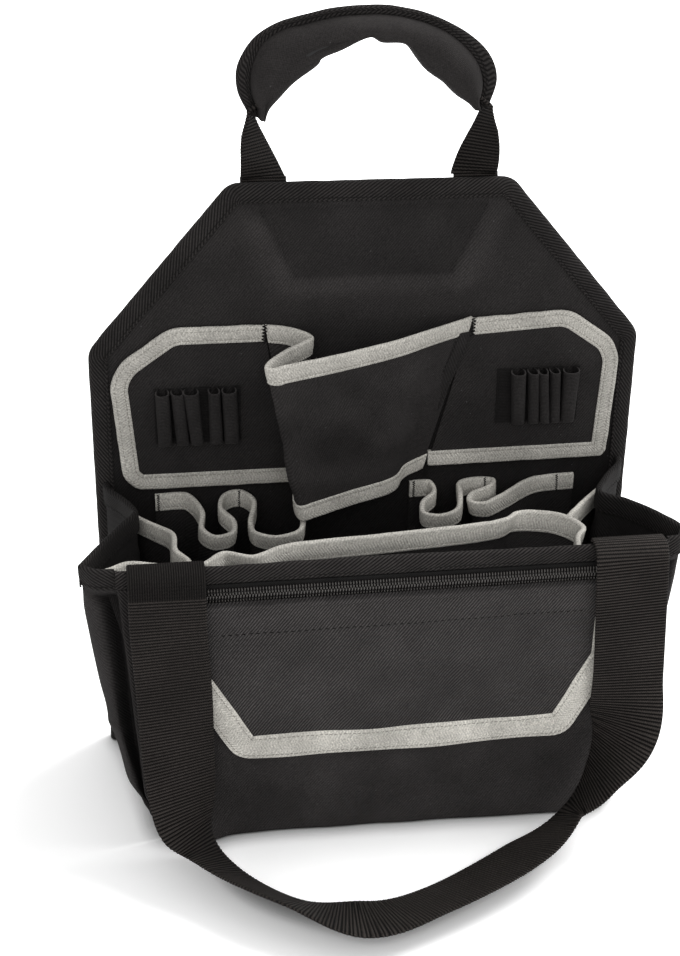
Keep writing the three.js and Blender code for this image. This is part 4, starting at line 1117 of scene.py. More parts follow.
def gusset(side, seed):
    foot_of_tape = RIM_HEIGHT - BINDING_WIDTH
    heights = np.r_[np.linspace(BOX_FLOOR, foot_of_tape, 84), RIM_HEIGHT - 6, RIM_HEIGHT]
    grid = np.stack([gusset_line(side, z) for z in heights])
    flat = flat_cloth(grid)
    out = np.stack([level_normals(line) for line in grid])
    out *= SIGNS[side] * np.sign(out[PROBE])
    up = grid[..., 2]
    along = flat[..., 0] / flat[0, -1, 0]
    free = ease(up, 6, 30) * ease(foot_of_tape - up, -2, 22) * ease(along, 0.02, 0.1) * ease(along, 1.0, 0.9)
    waves = 0.8 * crumple(flat, 130, seed) + 0.3 * crumple(flat, 45, seed + 1) * ease(along, 0.15, 0.4)
    crease = 0.5 * hump(up - GUSSET_CREASE - 10 * (along - 0.3), 0, 4.0)
    dent = -0.5 * hump(up - GUSSET_CREASE - 14, 0, 11) - 0.5 * hump(up - GUSSET_CREASE + 16, 0, 12)
    lower_fold = -1.4 * hump(up - 30 + 34 * along, 0, 7) + 0.8 * hump(up - 52 + 26 * along, 0, 11)
    rising = up - 40 * along
    slant = ease(along, 0.2, 0.5) * (-1.1 * hump(rising - 150, 0, 9) + 0.8 * hump(rising - 168, 0, 10))
    grid = grid + out * (free * (waves + crease + dent + lower_fold + slant))[..., None]
    points, faces, cloth = shell(grid, CLOTH, flat)
    # Painted light and shade: painted shade in the valley behind the front corner, a little painted light over the
    # outer
    shade = 1.6 * ease(along, 0.0, 0.03) * ease(0.2 - along, 0, 0.09) * ease(foot_of_tape - up, 0, 8) - 0.35
    # face, painted shade over the rear upper part and, on the inner face, over the upper part
    shade = shade + 1.3 * ease(along, 0.5, 0.65) * ease(up, 120, 190)
    painted_inner_shade = ease(up, 90, 170)
    lifted = int(np.sign(out[PROBE] * surface_normals(grid)[PROBE]))
    cloth[:, 2] = np.concatenate([value.ravel() for value in (shade, painted_inner_shade)[::lifted]])
    piece(f"gusset_{side}_cloth", (points, faces, cloth), polyester, replaces=f"gusset_{side}")
    edge, low = (gusset_line(side, z)[5:] for z in (RIM_HEIGHT, foot_of_tape))
    # Painted shade over the rear part of the gusset's tape
    bind(f"gusset_{side}", low, edge + UP * BINDING_STACK, [level_normals(low), level_normals(edge)], CLOTH_INNER,
         BLACK, f"gusset_{side}_binding", seed + 3, rows=((2.4, 0.3, 0.3),), rise=unit(edge - low),
         painted_shading=lambda share: 0.8 * ease(share, 0.2, 0.36))


def base_cloth():
    """The floor's cloth, which reaches under the back panel between the tapes of its edges."""
    rear = panel_y(0, BINDING_STACK + PLAY)
    share = np.linspace(0, 1, 40)
    half = mix(BASE_FRONT_HALF, BASE_REAR_HALF, share)
    depth = mix(FRONT_FACE + 7, rear, share)
    across = half[:, None] * np.linspace(-1, 1, 90)
    between_tapes = ease(PANEL_HALF - BINDING_WIDTH - 2 - np.abs(across), 0, 6)
    under_panel = (BINDING_STACK + PLAY + 1.0) * ease(share, 0.9, 1.0)[:, None] * between_tapes
    flat = xyz(across, depth[:, None] + under_panel, 0)
    grid = flat + UP * CLOTH / 2
    sheet("base_cloth", grid, flat, "base_panel")


def front_swell(across, up):
    """How far the front wall and all that is sewn to it stand proud of flat, in millimetres."""
    flat = xyz(np.asarray(across, float), np.asarray(up, float))
    free = ease(up, 14, 60) * ease(ZIP_HEIGHT - 14 - up, 0, 40) * ease(150 - np.abs(across), 0, 40)
    waves = 1.1 + 1.5 * crumple(flat, 110, 61) + 0.55 * crumple(flat, 46, 62)
    return free * np.clip(waves, -0.4, 4.2)


def edge_swell(across, up):
    """Slight puckers along the front wall's lower seam."""
    pucker = np.sin(across / 9.0 + 0.6 * np.sin(across / 23.0))
    return 0.35 * ease(34 - up, 0, 20) * pucker * ease(140 - np.abs(across), 0, 12)


# How far the wall's foot pushes forwards along its width: it slumps at the left corner and swells at the right
FOOT_PUSH = [(-152, 0), (-140, 1.5), (-128, 7.0), (-110, 1.2), (-90, 0.2), (-40, 1.0), (60, 3.6), (125, 5.6),
             (140, 3), (152, 0)]


def foot_push(across, up):
    """How far the front wall's foot stands forwards of its flat shape."""
    push = np.interp(across, *np.array(smooth(FOOT_PUSH, 6)).T)
    crease = 1.2 * hump(across + 118, 0, 18) * hump(up - 20 - 0.3 * (across + 118), 0, 4)
    return push * ease(34 - up, 0, 26) - crease


def front_wall():
    foot_of_tape = RIM_HEIGHT - BINDING_WIDTH
    under = [(1.15, 5.5), (1.15, 3.6), (1.2, 2.0), (1.6, 0.9), (2.5, 0.2), (4.0, 0.0)]
    heights = np.r_[[z for z, _ in under], np.linspace(6, foot_of_tape, 90), RIM_HEIGHT - 5, RIM_HEIGHT]
    tuck = np.r_[[inset for _, inset in under], np.zeros(92)]
    half = wall_half(np.maximum(heights, BOX_FLOOR))
    across, up, flat = patch(half, heights, columns=150)
    middle = (FRONT_FACE + WALL_BACK) / 2 + tuck[:, None] - front_swell(across, up) * 0.9 - edge_swell(across, up)
    grid = xyz(across, middle - foot_push(across, up), up)
    # Random darker and paler patches, and painted light that makes the whole wall paler
    flat[..., 2] = 0.16 * crumple(flat, 60, 66) + 0.1 * crumple(flat, 24, 67) - 0.7
    piece("front_wall_cloth", shell(grid, FRONT_WALL - 0.2, flat), polyester, replaces="front_wall")


def front_bindings():
    middle = (FRONT_FACE + WALL_BACK) / 2
    inner = FRONT_WALL / 2 + PLAY
    end = WALL_RIM_HALF + BINDING_STACK
    x = np.linspace(-end, end, 180)
    lift = 0.5 * np.sin(x / 38.0 + 2.0) * ease(end - np.abs(x), 2, 30)
    low = xyz(x, middle, RIM_HEIGHT - RIM_FLAP)
    crown = xyz(x, middle, RIM_HEIGHT + BINDING_STACK + lift)
    rows = ((2.4, 0.28, 0.3),)
    # Painted light: the rim's tape is made paler
    bind("rim", low, crown, REARWARDS, inner, BLACK, "rim_binding_front", 71, pucker=1.2, rows=rows, painted_shading=RIM_PAINTED_LIGHT)
    heights = np.r_[np.linspace(BOX_FLOOR + PLAY, WALL_KNEE_HEIGHT, 20),
                    np.linspace(WALL_KNEE_HEIGHT, RIM_HEIGHT - RIM_FLAP - PLAY, 90)[1:]]
    half = wall_half(heights)
    depth = middle - 0.35 * np.sin(heights / 17.0)
    for side, sign in SIGNS.items():
        low, crown = (xyz(sign * (half + beyond), depth, heights) for beyond in (-BINDING_WIDTH, BINDING_STACK))
        bind("corner", low, crown, REARWARDS, inner, BLACK, f"corner_binding_{side}", 73, pucker=1.3, rows=rows,
             faces=(-1,), end=f"_{side}")


# The zipped pocket

ZIP_HEIGHT = RIM_HEIGHT - 17
RIM_FLAP = 10.0
ZIP_POCKET_TOP = ZIP_HEIGHT - 5.2
ZIP_POCKET_LEFT = -145.0
ZIP_POCKET_RIGHT = 149.0
ZIP_POCKET_FOOT = 68.0
ZIP_POCKET_RADIUS = 18.0
ZIP_TAPE = 0.6
POCKET_PROUD = 2.4
U_TAPE_WIDTH = 18.0
POCKET_FRONT = FRONT_FACE - PLAY - POCKET_PROUD - CLOTH


def pocket_edge(inset):
    """The zipped pocket's outline as [across, up]: down the right side, round the foot, up the left."""
    corners = [(ZIP_POCKET_RIGHT, ZIP_POCKET_TOP), (ZIP_POCKET_RIGHT, ZIP_POCKET_FOOT + 60),
               (ZIP_POCKET_RIGHT - 30, ZIP_POCKET_FOOT), (ZIP_POCKET_LEFT + 41, ZIP_POCKET_FOOT),
               (ZIP_POCKET_LEFT, ZIP_POCKET_FOOT + 72), (ZIP_POCKET_LEFT, ZIP_POCKET_TOP)]
    return edge_path(corners, ZIP_POCKET_RADIUS, inset)


def pocket_face(across, up):
    """The depth of the pocket's front at a place, where it swells with the wall behind it."""
    return POCKET_FRONT - front_swell(across, up)


def zip_pocket():
    edge = pocket_edge(0.0)
    up = np.linspace(ZIP_POCKET_FOOT + 0.2, ZIP_POCKET_TOP, 130)
    left, right = (across_at(part, up)[:, None] for part in (edge[edge[:, 0] < 2], edge[edge[:, 0] > 2]))
    across = mix(left, right, np.linspace(0, 1, 190))
    level = np.broadcast_to(up[:, None], across.shape)
    inside = np.minimum(np.minimum(across - left, right - across), level - ZIP_POCKET_FOOT)
    flat = xyz(across, level, 0)
    free = ease(inside, 16, 34)
    waves = 0.35 * crumple(flat, 40, 63) + 0.18 * crumple(flat, 17, 64)
    turned = (POCKET_PROUD - 0.3) * (1 - ease(inside, -1.5, 3.5))
    middle = pocket_face(across, level) + CLOTH / 2 + turned - free * waves
    grid = xyz(across, middle, level)
    piece("zip_pocket_cloth", shell(grid, CLOTH, flat), patch_twill, replaces="zip_pocket_panel")
    heights = np.linspace(ZIP_POCKET_TOP - 6.2, ZIP_POCKET_TOP + 0.4, 6)
    proud = (0.2, 0.55, 0.6, 0.6, 0.55, 0.0)
    hem = np.stack([xyz(across[-1, 1:-1], POCKET_FRONT - out, z) for z, out in zip(heights, proud)])
    # Painted shadow on the hem just under the coil
    painted_coil_shadow = ease(hem[..., 2] - ZIP_POCKET_TOP, -3.2, -1.6)
    piece("zip_pocket_hem", shell(hem, 0.5, xyz(hem[..., 0], hem[..., 2], painted_coil_shadow)), patch_twill)
    seam_line = spaced([(ZIP_POCKET_LEFT + 30, 164), (ZIP_POCKET_RIGHT - 24, 166)], 3)
    nearest = grid[np.searchsorted(up, seam_line[:, 1])]
    depth = [np.interp(x, row[:, 0], row[:, 1]) - CLOTH / 2 - 0.12 for x, row in zip(seam_line[:, 0], nearest)]
    path = xyz(seam_line[:, 0], depth, seam_line[:, 1])
    rows = stitch_row(path, FORWARDS, pitch=4.4, length=2.2, radius=0.3)
    sew("zip_pocket_inner_seam", rows)
    u_tape()
    zip_fastener()


def u_tape():
    outer, inner = pocket_edge(0.0), pocket_edge(U_TAPE_WIDTH)
    share = np.linspace(0, 1, 11)
    places = mix(outer[:, None], inner[:, None], share[:, None])
    face = pocket_face(places[..., 0], places[..., 1]) - PLAY
    profile = np.array([0.15, 0.62, 0.78, 0.62, 0.82, 0.86, 0.86, 0.82, 0.6, 0.78, 0.3])
    front = xyz(places[..., 0], face - profile, places[..., 1])
    rear = xyz(places[..., 0], face + 0.1, places[..., 1])
    rings = np.concatenate([front, rear[:, ::-1]], axis=1)
    across = np.r_[share, share[::-1]] * U_TAPE_WIDTH
    points, faces, cloth = skin(rings, across)
    # Painted light: the tape is made paler all over
    cloth[:, 2] = U_TAPE_PAINTED_LIGHT
    piece("zip_pocket_u_tape", (points, faces, cloth), grey_herringbone, replaces="zip_pocket_tape")
    rows = []
    for inset in (2.6, U_TAPE_WIDTH - 2.6):
        line = pocket_edge(inset)
        line = line[line[:, 1] < ZIP_POCKET_TOP - 7]
        path = xyz(line[:, 0], pocket_face(line[:, 0], line[:, 1]) - PLAY - 0.66, line[:, 1])
        rows += stitch_row(path, FORWARDS, radius=0.24)
    sew("zip_pocket_stitches", rows, grey_thread_painted_shade)


ZIP_RUN = (ZIP_POCKET_LEFT + CLOTH + 2 * PLAY, ZIP_POCKET_RIGHT - CLOTH - 2 * PLAY)
ZIP_TAPE_BACK = FRONT_FACE - 2 * PLAY - BLACK_TAPE
ZIP_SLIT = 0.6
ZIP_REACH = 11.5
COIL_HEIGHT = 3.9
COIL_DEPTH = 1.6
COIL_TURN = 1.9


def zip_fastener():
    x = np.linspace(*ZIP_RUN, 220)
    for name, sign in (("upper", 1), ("lower", -1)):
        share = np.array([0.0, 0.04, 0.35, 0.7, 0.96, 1.0])
        reach = ZIP_REACH if sign < 0 else RIM_HEIGHT - RIM_FLAP - ZIP_HEIGHT - ZIP_SLIT
        height = ZIP_HEIGHT + sign * (ZIP_SLIT + share * reach)
        sag = 0.16 * crumple(xyz(x, 0), 26, 81 + sign)
        front = [xyz(x, ZIP_TAPE_BACK - ZIP_TAPE - 0.1 * proud + 0.12 * sag, z)
                 for z, proud in zip(height, (-2, 0, 1, 0.4, 0, -2))]
        rings = np.stack(front + [xyz(x, ZIP_TAPE_BACK, z) for z in height[::-1]], axis=1)
        around = np.r_[height, height[::-1]]
        piece(f"zip_{name}_tape", skin(rings, around), zip_cloth, replaces=f"zip_tape_{name}")
        coil(name, sign)


def coil(name, sign):
    """One row of the zip's coil: close loops of nylon, each a little slanted, with the sewing over it."""
    back = ZIP_TAPE_BACK - ZIP_TAPE - PLAY
    start, end = ZIP_RUN[0] + 4.4, ZIP_RUN[1] - 4.4
    reach = COIL_HEIGHT + ZIP_SLIT
    forms = []
    x = start + (COIL_TURN / 2 if sign > 0 else 0)
    while x < end:
        foot = np.array([x, back - COIL_DEPTH / 2, ZIP_HEIGHT + sign * reach])
        tip = np.array([x + 0.35, back - COIL_DEPTH / 2, ZIP_HEIGHT + sign * 0.1])
        forms.append(tooth(foot, tip))
        x += COIL_TURN
    piece(f"zip_{name}_coil", together(forms), coil_nylon, replaces=f"zip_coil_{name}")
    seam_height = ZIP_HEIGHT + sign * 0.55 * reach
    path = spaced([(start, back - COIL_DEPTH - 0.1, seam_height), (end, back - COIL_DEPTH - 0.1, seam_height)], 3)
    rows = stitch_row(path, FORWARDS, pitch=COIL_TURN, length=COIL_TURN - 0.2, radius=0.36, proud=0.1)
    sew(f"zip_{name}_coil_stitches", rows)


# Share of its length, half its width and half its depth there
TOOTH = ((0, 0.3, 0.5), (0.12, 0.5, 0.78), (0.5, 0.46, 0.7), (0.88, 0.64, 0.8), (1.0, 0.4, 0.55))


def tooth(foot, tip, sides=8):
    """One turn of the zip's coil, as a flattened spindle from its sewn foot to its tip."""
    way = unit(tip - foot)
    side = np.cross(way, FORWARDS)
    turn = np.linspace(0, 2 * math.pi, sides, endpoint=False)
    rings = []
    for share, width, depth in TOOTH:
        middle = mix(foot, tip, share)
        rings.append(middle + np.cos(turn)[:, None] * side * width + np.sin(turn)[:, None] * FORWARDS * depth)
    return skin(np.array(rings), np.linspace(0, 1, sides))


# The strap across the front, with the sewn ends that hold it

STRAP_WIDTH = 48.0
STRAP_ANCHOR_HEIGHT = 22.0
STRAP_LEFT_X = -146.0
STRAP_RIGHT_X = 150.0
STRAP_HINGE_Y = WALL_BACK + BINDING_STACK + PLAY + WEBBING / 2
STRAP_HINGE_Z = RIM_HEIGHT + BINDING_STACK + PLAY + WEBBING / 2
RIB_PITCH = 2.1

# The strap shows no ribs along its first stretch, where it turns over the rim
STRAP_PLAIN = 13.05 * RIB_PITCH

# Where the strap's middle runs, and its direction across there
STRAP_ROUTE = [
    (-146, -71.5, 176, 1, 0, 0), (-144, -74, 132, 0.99, 0.06, -0.12), (-142, -83, 71, 0.91, 0.25, -0.34),
    (-137, -96, 34, 0.69, 0.46, -0.56), (-118, -115, 20, 0.5, 0.62, -0.6), (-77, -149, 18, 0.2, 0.78, -0.6),
    (-33, -163, 13, 0.21, 0.94, -0.28), (14, -151, 12, 0.1, 0.92, -0.37), (78, -120, 15, -0.03, 0.93, -0.36),
    (117, -94, 24, -0.1, 0.78, -0.6), (138, -88, 50, -0.4, 0.63, -0.67), (152, -82, 78, -0.67, 0.54, -0.5),
    (154, -75, 115, -0.99, 0.02, -0.17), (152, -71.5, 168, -1, 0, 0),
]


def band(line, across, width, thick, rib, start_rib=0.0, square=True):
    """Webbing through a line: a flat section with round edges and low ribs across it. square turns its width square
    to the line."""
    line, across = np.asarray(line, float), unit(np.asarray(across, float))
    run = lengths_along(line)
    at = np.linspace(0, run[-1], int(run[-1] / (RIB_PITCH / 4)) + 1)
    middle, side = resampled(line, run, at), resampled(across, run, at)
    wide = np.interp(at, run, np.broadcast_to(width, run.shape))
    deep = np.interp(at, run, np.broadcast_to(thick, run.shape))
    along = unit(np.gradient(middle, axis=0))
    side = unit(side - along * (side * along).sum(axis=1, keepdims=True)) if square else unit(side)
    face = unit(np.cross(along, side))
    ribbed = ease(at, start_rib, start_rib + 8) * ease(run[-1] - at, start_rib, start_rib + 8)
    rounding = -np.cos(at * 2 * math.pi / RIB_PITCH) * rib * ribbed
    share = np.array([-1, -0.985, -0.93, -0.75, -0.5, -0.25, 0, 0.25, 0.5, 0.75, 0.93, 0.985, 1])
    height = np.array([0.1, 0.6, 0.93, 1, 1, 1, 1, 1, 1, 1, 0.93, 0.6, 0.1])
    half = face[:, None] * ((deep / 2 + rounding)[:, None] * height)[..., None]
    flat = middle[:, None] + side[:, None] * (share * wide[:, None] / 2)[..., None]
    rings = np.concatenate([flat + half, (flat - half)[:, ::-1]], axis=1)
    return skin(rings, np.r_[share, share[::-1]] * float(np.mean(wide)) / 2)


def webbing(name, form, node, body="root"):
    """A piece of the black webbing, in the place of one CAD node."""
    piece(name, form, strap_webbing, body, node, sharp=70)


def webbing_end(holder, side, line, width, half_height, inset, centre, up, out, **ribs):
    """A sewn end of webbing, with the stitched box that holds it round a centre."""
    form = band(line, np.broadcast_to(ACROSS, line.shape), width, WEBBING, **ribs)
    webbing(f"{holder}_end_{side}", form, f"{holder}_anchor_{side}")
    rows = boxed_cross(centre, ACROSS, up, out, width / 2 - inset, half_height)
    sew(f"{holder}_end_stitches_{side}", rows)


def strap():
    def over(x, way):
        return [(x, STRAP_HINGE_Y - out, STRAP_HINGE_Z + rise, way, 0, 0)
                for out, rise in ((0, 0), (6.2, 0.3), (12.2, -2.3), (15.7, -9.3))]

    route = np.array([*over(STRAP_LEFT_X, 1), *STRAP_ROUTE, *over(STRAP_RIGHT_X, -1)[::-1]], float)
    line, across = smooth(route[:, :3], 12), smooth(route[:, 3:], 12)
    run = lengths_along(line)
    sag = 0.5 * np.sin(run / 31.0) * ease(run, 60, 120) * ease(run[-1] - run, 60, 120)
    line = line + UP * sag[:, None]
    form = band(line, across, STRAP_WIDTH, WEBBING, rib=0.28, start_rib=12.0)
    # Painted light over the strap's right part
    form[2][:, 2] = STRAP_PAINTED_LIGHT * ease(form[2][:, 0] / form[2][:, 0].max(), 0.66, 0.78)
    form[2][:, 0] = np.maximum(form[2][:, 0], STRAP_PLAIN)
    webbing("strap_webbing", form, "front_strap", "front_strap")
    top = RIM_HEIGHT + BINDING_STACK
    for side, x in (("left", STRAP_LEFT_X), ("right", STRAP_RIGHT_X)):
        line = spaced([(x, STRAP_HINGE_Y, top - STRAP_ANCHOR_HEIGHT), (x, STRAP_HINGE_Y, top)], 1.5)
        centre = (x, STRAP_HINGE_Y + WEBBING / 2, top - STRAP_ANCHOR_HEIGHT / 2)
        webbing_end("strap", side, line, STRAP_WIDTH, STRAP_ANCHOR_HEIGHT / 2 - 4, 4, centre, UP, REARWARDS, rib=0.12)


# The handle: webbing that turns on edge inside a padded wrap

HANDLE_WIDTH = 30.0
HANDLE_LEG_X = 70.0
HANDLE_ANCHOR_FOOT = 330.0
LEG_TURN = (4.0, 36.0)
GRIP_WEBBING_WIDTH = 15.0
GRIP_WEBBING = 2.4
GRIP_HALF = 14.0
GRIP_CLOTH = 1.8
FIN_HEIGHT = 8.0
FOAM_TRIM = 14
HANDLE_HINGE_OUT = PANEL_THICKNESS + BINDING_STACK + PLAY + WEBBING + PLAY + WEBBING / 2
HANDLE_HINGE_HEIGHT = PANEL_HEIGHT + PLAY + WEBBING / 2
GRIP_LOWER = [(-69, 36.5), (-65.5, 44), (-59, 52), (-46, 64), (-35, 72), (-33, 75), (-16, 82), (-2, 87), (4, 84),
              (19, 82.5), (28, 73), (42, 60), (53, 51.5), (60, 46.5), (67, 41)]
GRIP_UPPER = [(-79.5, 41.5), (-86, 56), (-85.5, 71), (-75, 87.5), (-59, 97), (-48, 100), (-26, 105), (-7, 106.5),
              (4, 106.8), (19, 105), (38, 100), (62, 88), (76, 75), (81, 60), (76.5, 43)]

# The legs' edges as [above the hinge, how far out], as they look from the front
LEG_OUTER = [(-1, 85), (20, 84.8), (28, 84), (35, 81.6), (41, 79.8), (46, 79.4)]
LEG_INNER = [(-1, 55.1), (8, 59.6), (16, 63.8), (24, 68.0), (32, 72.2), (40, 76.0), (46, 76.4)]


def on_handle(pairs):
    """Places in the plane of the handle, given as [across, above its hinge], in the panel's own axes."""
    pairs = np.asarray(pairs, float)
    return xyz(pairs[:, 0], HANDLE_HINGE_OUT, pairs[:, 1] + HANDLE_HINGE_HEIGHT)


def grip(steps=12):
    """The padded grip's lower edge, the way up from it, and how high it is there."""
    low, high = smooth(on_handle(GRIP_LOWER), steps), smooth(on_handle(GRIP_UPPER), steps)
    height = np.linalg.norm(high - low, axis=1)
    return low, unit(high - low), height


def grip_rings(at, up, pairs, back=None):
    """Rings of a section given as [rise, out] arrays per station: up the front and down the rear."""
    front = [at + up * rise[:, None] + FORWARDS * out[:, None] for rise, out in pairs]
    rear = [at + up * rise[:, None] + REARWARDS * out[:, None] for rise, out in (back or pairs)[::-1]]
    return np.stack(front + rear, axis=1)


def wrap():
    at, up, height = grip()
    run = lengths_along(at)
    share_along = run / run[-1]
    ends = ease(np.abs(share_along - 0.5), 0.22, 0.5)
    tape = np.minimum(5.6 + 6.4 * ends, 0.6 * height)
    body = height - tape
    shares = np.array([0.0, 0.004, 0.02, 0.06, 0.12, 0.2, 0.28, 0.34, 0.42, 0.52, 0.62, 0.72, 0.82, 0.9, 0.96, 1.0])
    widths = np.array([0.12, 0.34, 0.52, 0.7, 0.83, 0.9, 0.91, 0.94, 1.0, 1.0, 0.94, 0.83, 0.67, 0.48, 0.3, 0.14])

    def face(seed, shift):
        pairs = []
        for s, w in zip(shares, widths):
            flat = xyz(run, s * body.mean())
            inside = math.sin(math.pi * s) ** 0.5
            waves = inside * (crumple(flat, 42, seed) + 0.4 * crumple(flat, 19, seed + 1))
            fold = -1.3 * hump(s - 0.27 - 0.06 * np.sin(run / 21.0 + shift), 0, 0.05)
            fold = fold * (0.6 + 0.4 * np.sin(run / 33.0))
            taper = 1 - 0.5 * ease(np.abs(share_along - 0.5), 0.4, 0.5) * (1 - 0.5 * s)
            rise = s * body + 0.9 * (1 - s) ** 6 * crumple(flat, 24, 95)
            pairs.append((rise, GRIP_HALF * w * taper + waves + fold))
        fin = height - BINDING_STACK
        pairs.append((0.5 * (body + fin), 0 * run + 1.5))
        pairs.append((fin, 0 * run + 1.4))
        return pairs

    outer = grip_rings(at, up, face(91, 0.0), face(93, 2.0))
    shrink = 1 - 2 * GRIP_CLOTH / height
    thin = [(np.minimum(rise, body - 0.5) * shrink + 0.8 * GRIP_CLOTH, np.maximum(out - GRIP_CLOTH, 0.2))
            for rise, out in face(91, 0.0)]
    around = lengths_along(outer[len(outer) // 2])
    form = sleeve(on_back(outer), on_back(grip_rings(at, up, thin)), around)
    obj = piece("handle_wrap_cloth", form, grip_cloth, body="handle", replaces="handle_wrap")
    handle_tape(at, up, height, tape)


def handle_tape(at, up, height, tape):
    low = on_back(at + up * (height - tape + 0.3)[:, None])
    crown = on_back(at + up * height[:, None])
    bind("handle_edge", low, crown, PANEL_REARWARDS, 1.8, BLACK, "handle_wrap_binding", 97, pucker=0.6,
         rows=((2.2, 0.25, 0.3),), body="handle")


def leg(sign, height):
    """One leg's middle line, its direction across and its width: full width at the panel, folded on edge above."""
    outer, inner = (np.interp(height, *np.array(edge).T) for edge in (LEG_OUTER, LEG_INNER))
    if sign > 0:
        shift = mix(1.4, 2.6, ease(height, 0, 40))
        outer, inner = outer - shift, inner - shift
    wide = mix(HANDLE_WIDTH, GRIP_WEBBING_WIDTH, ease(height, 10, 42))
    angle = np.arccos(np.clip((outer - inner) / wide, 0, 1))
    line = on_handle(xyz(sign * (outer + inner) / 2, height))
    across = xyz(-sign * np.cos(angle), np.sin(angle), 0)
    return line, across, wide


def handle_line(steps):
    """The webbing's middle line with its direction across, its width and its thickness."""
    at, up, height = grip(steps)
    kept = slice(steps, -steps)
    middle = (at + up * ((height - FIN_HEIGHT) * 0.5)[:, None])[kept]
    rising = np.linspace(-1.2, 44, 60)
    left, left_across, left_wide = leg(-1, rising)
    right, right_across, right_wide = leg(1, rising)
    line = np.vstack([left, middle, right[::-1]])
    inside = np.tile([0.0, 1.0, 0.0], (len(middle), 1))
    across = np.vstack([left_across, inside, right_across[::-1]])
    wide = np.concatenate([left_wide, np.full(len(middle), GRIP_WEBBING_WIDTH), right_wide[::-1]])
    thick = mix(WEBBING, GRIP_WEBBING, ease(line[:, 2] - HANDLE_HINGE_HEIGHT, *LEG_TURN))
    return line, across, wide, thick


def handle_core():
    line, across, wide, thick = handle_line(12)
    form = band(on_back(line), back_turn(across), wide, thick, rib=0.2, start_rib=1.0, square=False)
    form[2][:, 2] = HANDLE_WEB_DARK
    webbing("handle_web", form, "handle_webbing", "handle")
    whole = lengths_along(grip()[0])
    at, up, height, share = (value[FOAM_TRIM:-FOAM_TRIM] for value in (*grip(), whole / whole[-1]))
    body = height - FIN_HEIGHT
    taper = 1 - 0.55 * ease(np.abs(share - 0.5), 0.3, 0.47)
    inset = GRIP_CLOTH + PLAY
    half = GRIP_HALF - inset
    shares = [(0.02, 0.3), (0.06, 0.62), (0.14, 0.82), (0.3, 0.93), (0.5, 1.0), (0.64, 0.84), (0.76, 0.6),
              (0.88, 0.3), (0.93, 0.1)]
    outer = grip_rings(at, up, [(inset * 0.6 + (body - inset) * s, half * w * taper) for s, w in shares])
    slot_high, slot_half = GRIP_WEBBING / 2 + PLAY, GRIP_WEBBING_WIDTH / 2 + PLAY
    middle = body * 0.5
    around = [(-1, 0.1), (-1, 0.4), (-1, 0.8), (-1, 1), (0, 1), (1, 1), (1, 0.8), (1, 0.4), (1, 0.1)]
    inner = grip_rings(at, up, [(middle + rise * slot_high, 0 * body + out * slot_half) for rise, out in around])
    form = sleeve(on_back(outer), on_back(inner), np.arange(outer.shape[1]) * 4.0)
    obj = piece("handle_padding", form, soft_foam, body="handle", replaces="handle_foam")


def handle_anchors():
    seat = PANEL_THICKNESS + PLAY + WEBBING / 2
    over = PANEL_THICKNESS + BINDING_STACK + PLAY + WEBBING / 2
    bend = PANEL_HEIGHT - BINDING_WIDTH - PLAY
    for side, sign in SIGNS.items():
        x = sign * HANDLE_LEG_X
        path = [(x, seat, HANDLE_ANCHOR_FOOT), (x, seat, bend - 4), (x, over, bend), (x, over, PANEL_HEIGHT - 4),
                (x, HANDLE_HINGE_OUT, HANDLE_HINGE_HEIGHT + 0.2)]
        centre = on_back((x, seat + WEBBING / 2 + 0.05, HANDLE_ANCHOR_FOOT + 15))
        webbing_end("handle", side, on_back(spaced(path, 1.5)), HANDLE_WIDTH, 11, 3.5, centre, back_turn(UP),
                    PANEL_REARWARDS, rib=0.14, start_rib=0.5)


def bar_tacks():
    """Bars of thread where the rim's tape ends on each gusset's lobe."""
    forms = []
    for side, sign in SIGNS.items():
        line = gusset_line(side, RIM_HEIGHT - BINDING_WIDTH)
        tip = line[int(np.argmax(sign * line[:, 0]))]
        out = unit(np.array([0.8 * sign, -0.6, 0.0]))
        foot = tip + out * (CLOTH_INNER + BLACK_TAPE) - UP * 1.5
        forms += bar_tack(foot, foot + UP * 5.0, out, turns=8, radius=0.4)
    sew("rim_bar_tacks", forms)


# Kept CAD pieces get their finish here

KEPT = {"back_stiffener_board": board_plastic, "base_board": board_plastic, "zip_slider": black_lacquer,
        "zip_pull": black_lacquer, "zip_end_stop_left": coil_nylon, "zip_end_stop_right": coil_nylon}

for node, material in KEPT.items():
    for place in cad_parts[node].material_slots:
        place.material = material

back_skins()
back_binding()
tool_panel("left", 23)
tool_panel("right", 27)
holster()
bit_loops("left", -146, 239)
bit_loops("right", 89, 243)
rear_pocket("left", (0.1, 9), 41)
rear_pocket("right", (0.2, 10, 17.7), 43)
front_pocket()
side_pocket("left", 45)
side_pocket("right", 47)
gusset("left", 101)
gusset("right", 105)
base_cloth()
front_wall()
front_bindings()
zip_pocket()
strap()
wrap()
handle_core()
handle_anchors()
bar_tacks()


# Camera, light and floor

CAMERA_PLACE = (-0.1679, -0.8848, 0.6972)
CAMERA_TARGET = (-0.0264, 0.019, 0.2291)
CAMERA_ROLL = math.radians(1.1)
CAMERA_LENS = 58.2
WHITE = (1.0, 1.0, 1.0)
WORLD_LIGHT = 0.76
FLOOR_COLOUR = 0.8
FLOOR_SEEN = 0.6
CONTACT_REACH = 0.014
FLOOR_NEAR, FLOOR_FAR = 1.2, 3.0


def aim(obj, place, target):
    obj.location = place
    obj.rotation_euler = (Vector(target) - Vector(place)).to_track_quat("-Z", "Y").to_euler()
    bpy.context.scene.collection.objects.link(obj)


def make_camera():
    data = bpy.data.cameras.new("camera")
    data.lens = CAMERA_LENS
    camera = bpy.data.objects.new("camera", data)
    aim(camera, CAMERA_PLACE, CAMERA_TARGET)
    camera.rotation_euler.rotate_axis("Z", CAMERA_ROLL)
    bpy.context.scene.camera = camera


def area_light(name, place, target, size, power):
    data = bpy.data.lights.new(name, "AREA")
    data.shape = "DISK"
    data.size = size
    data.energy = power
    aim(bpy.data.objects.new(name, data), place, target)


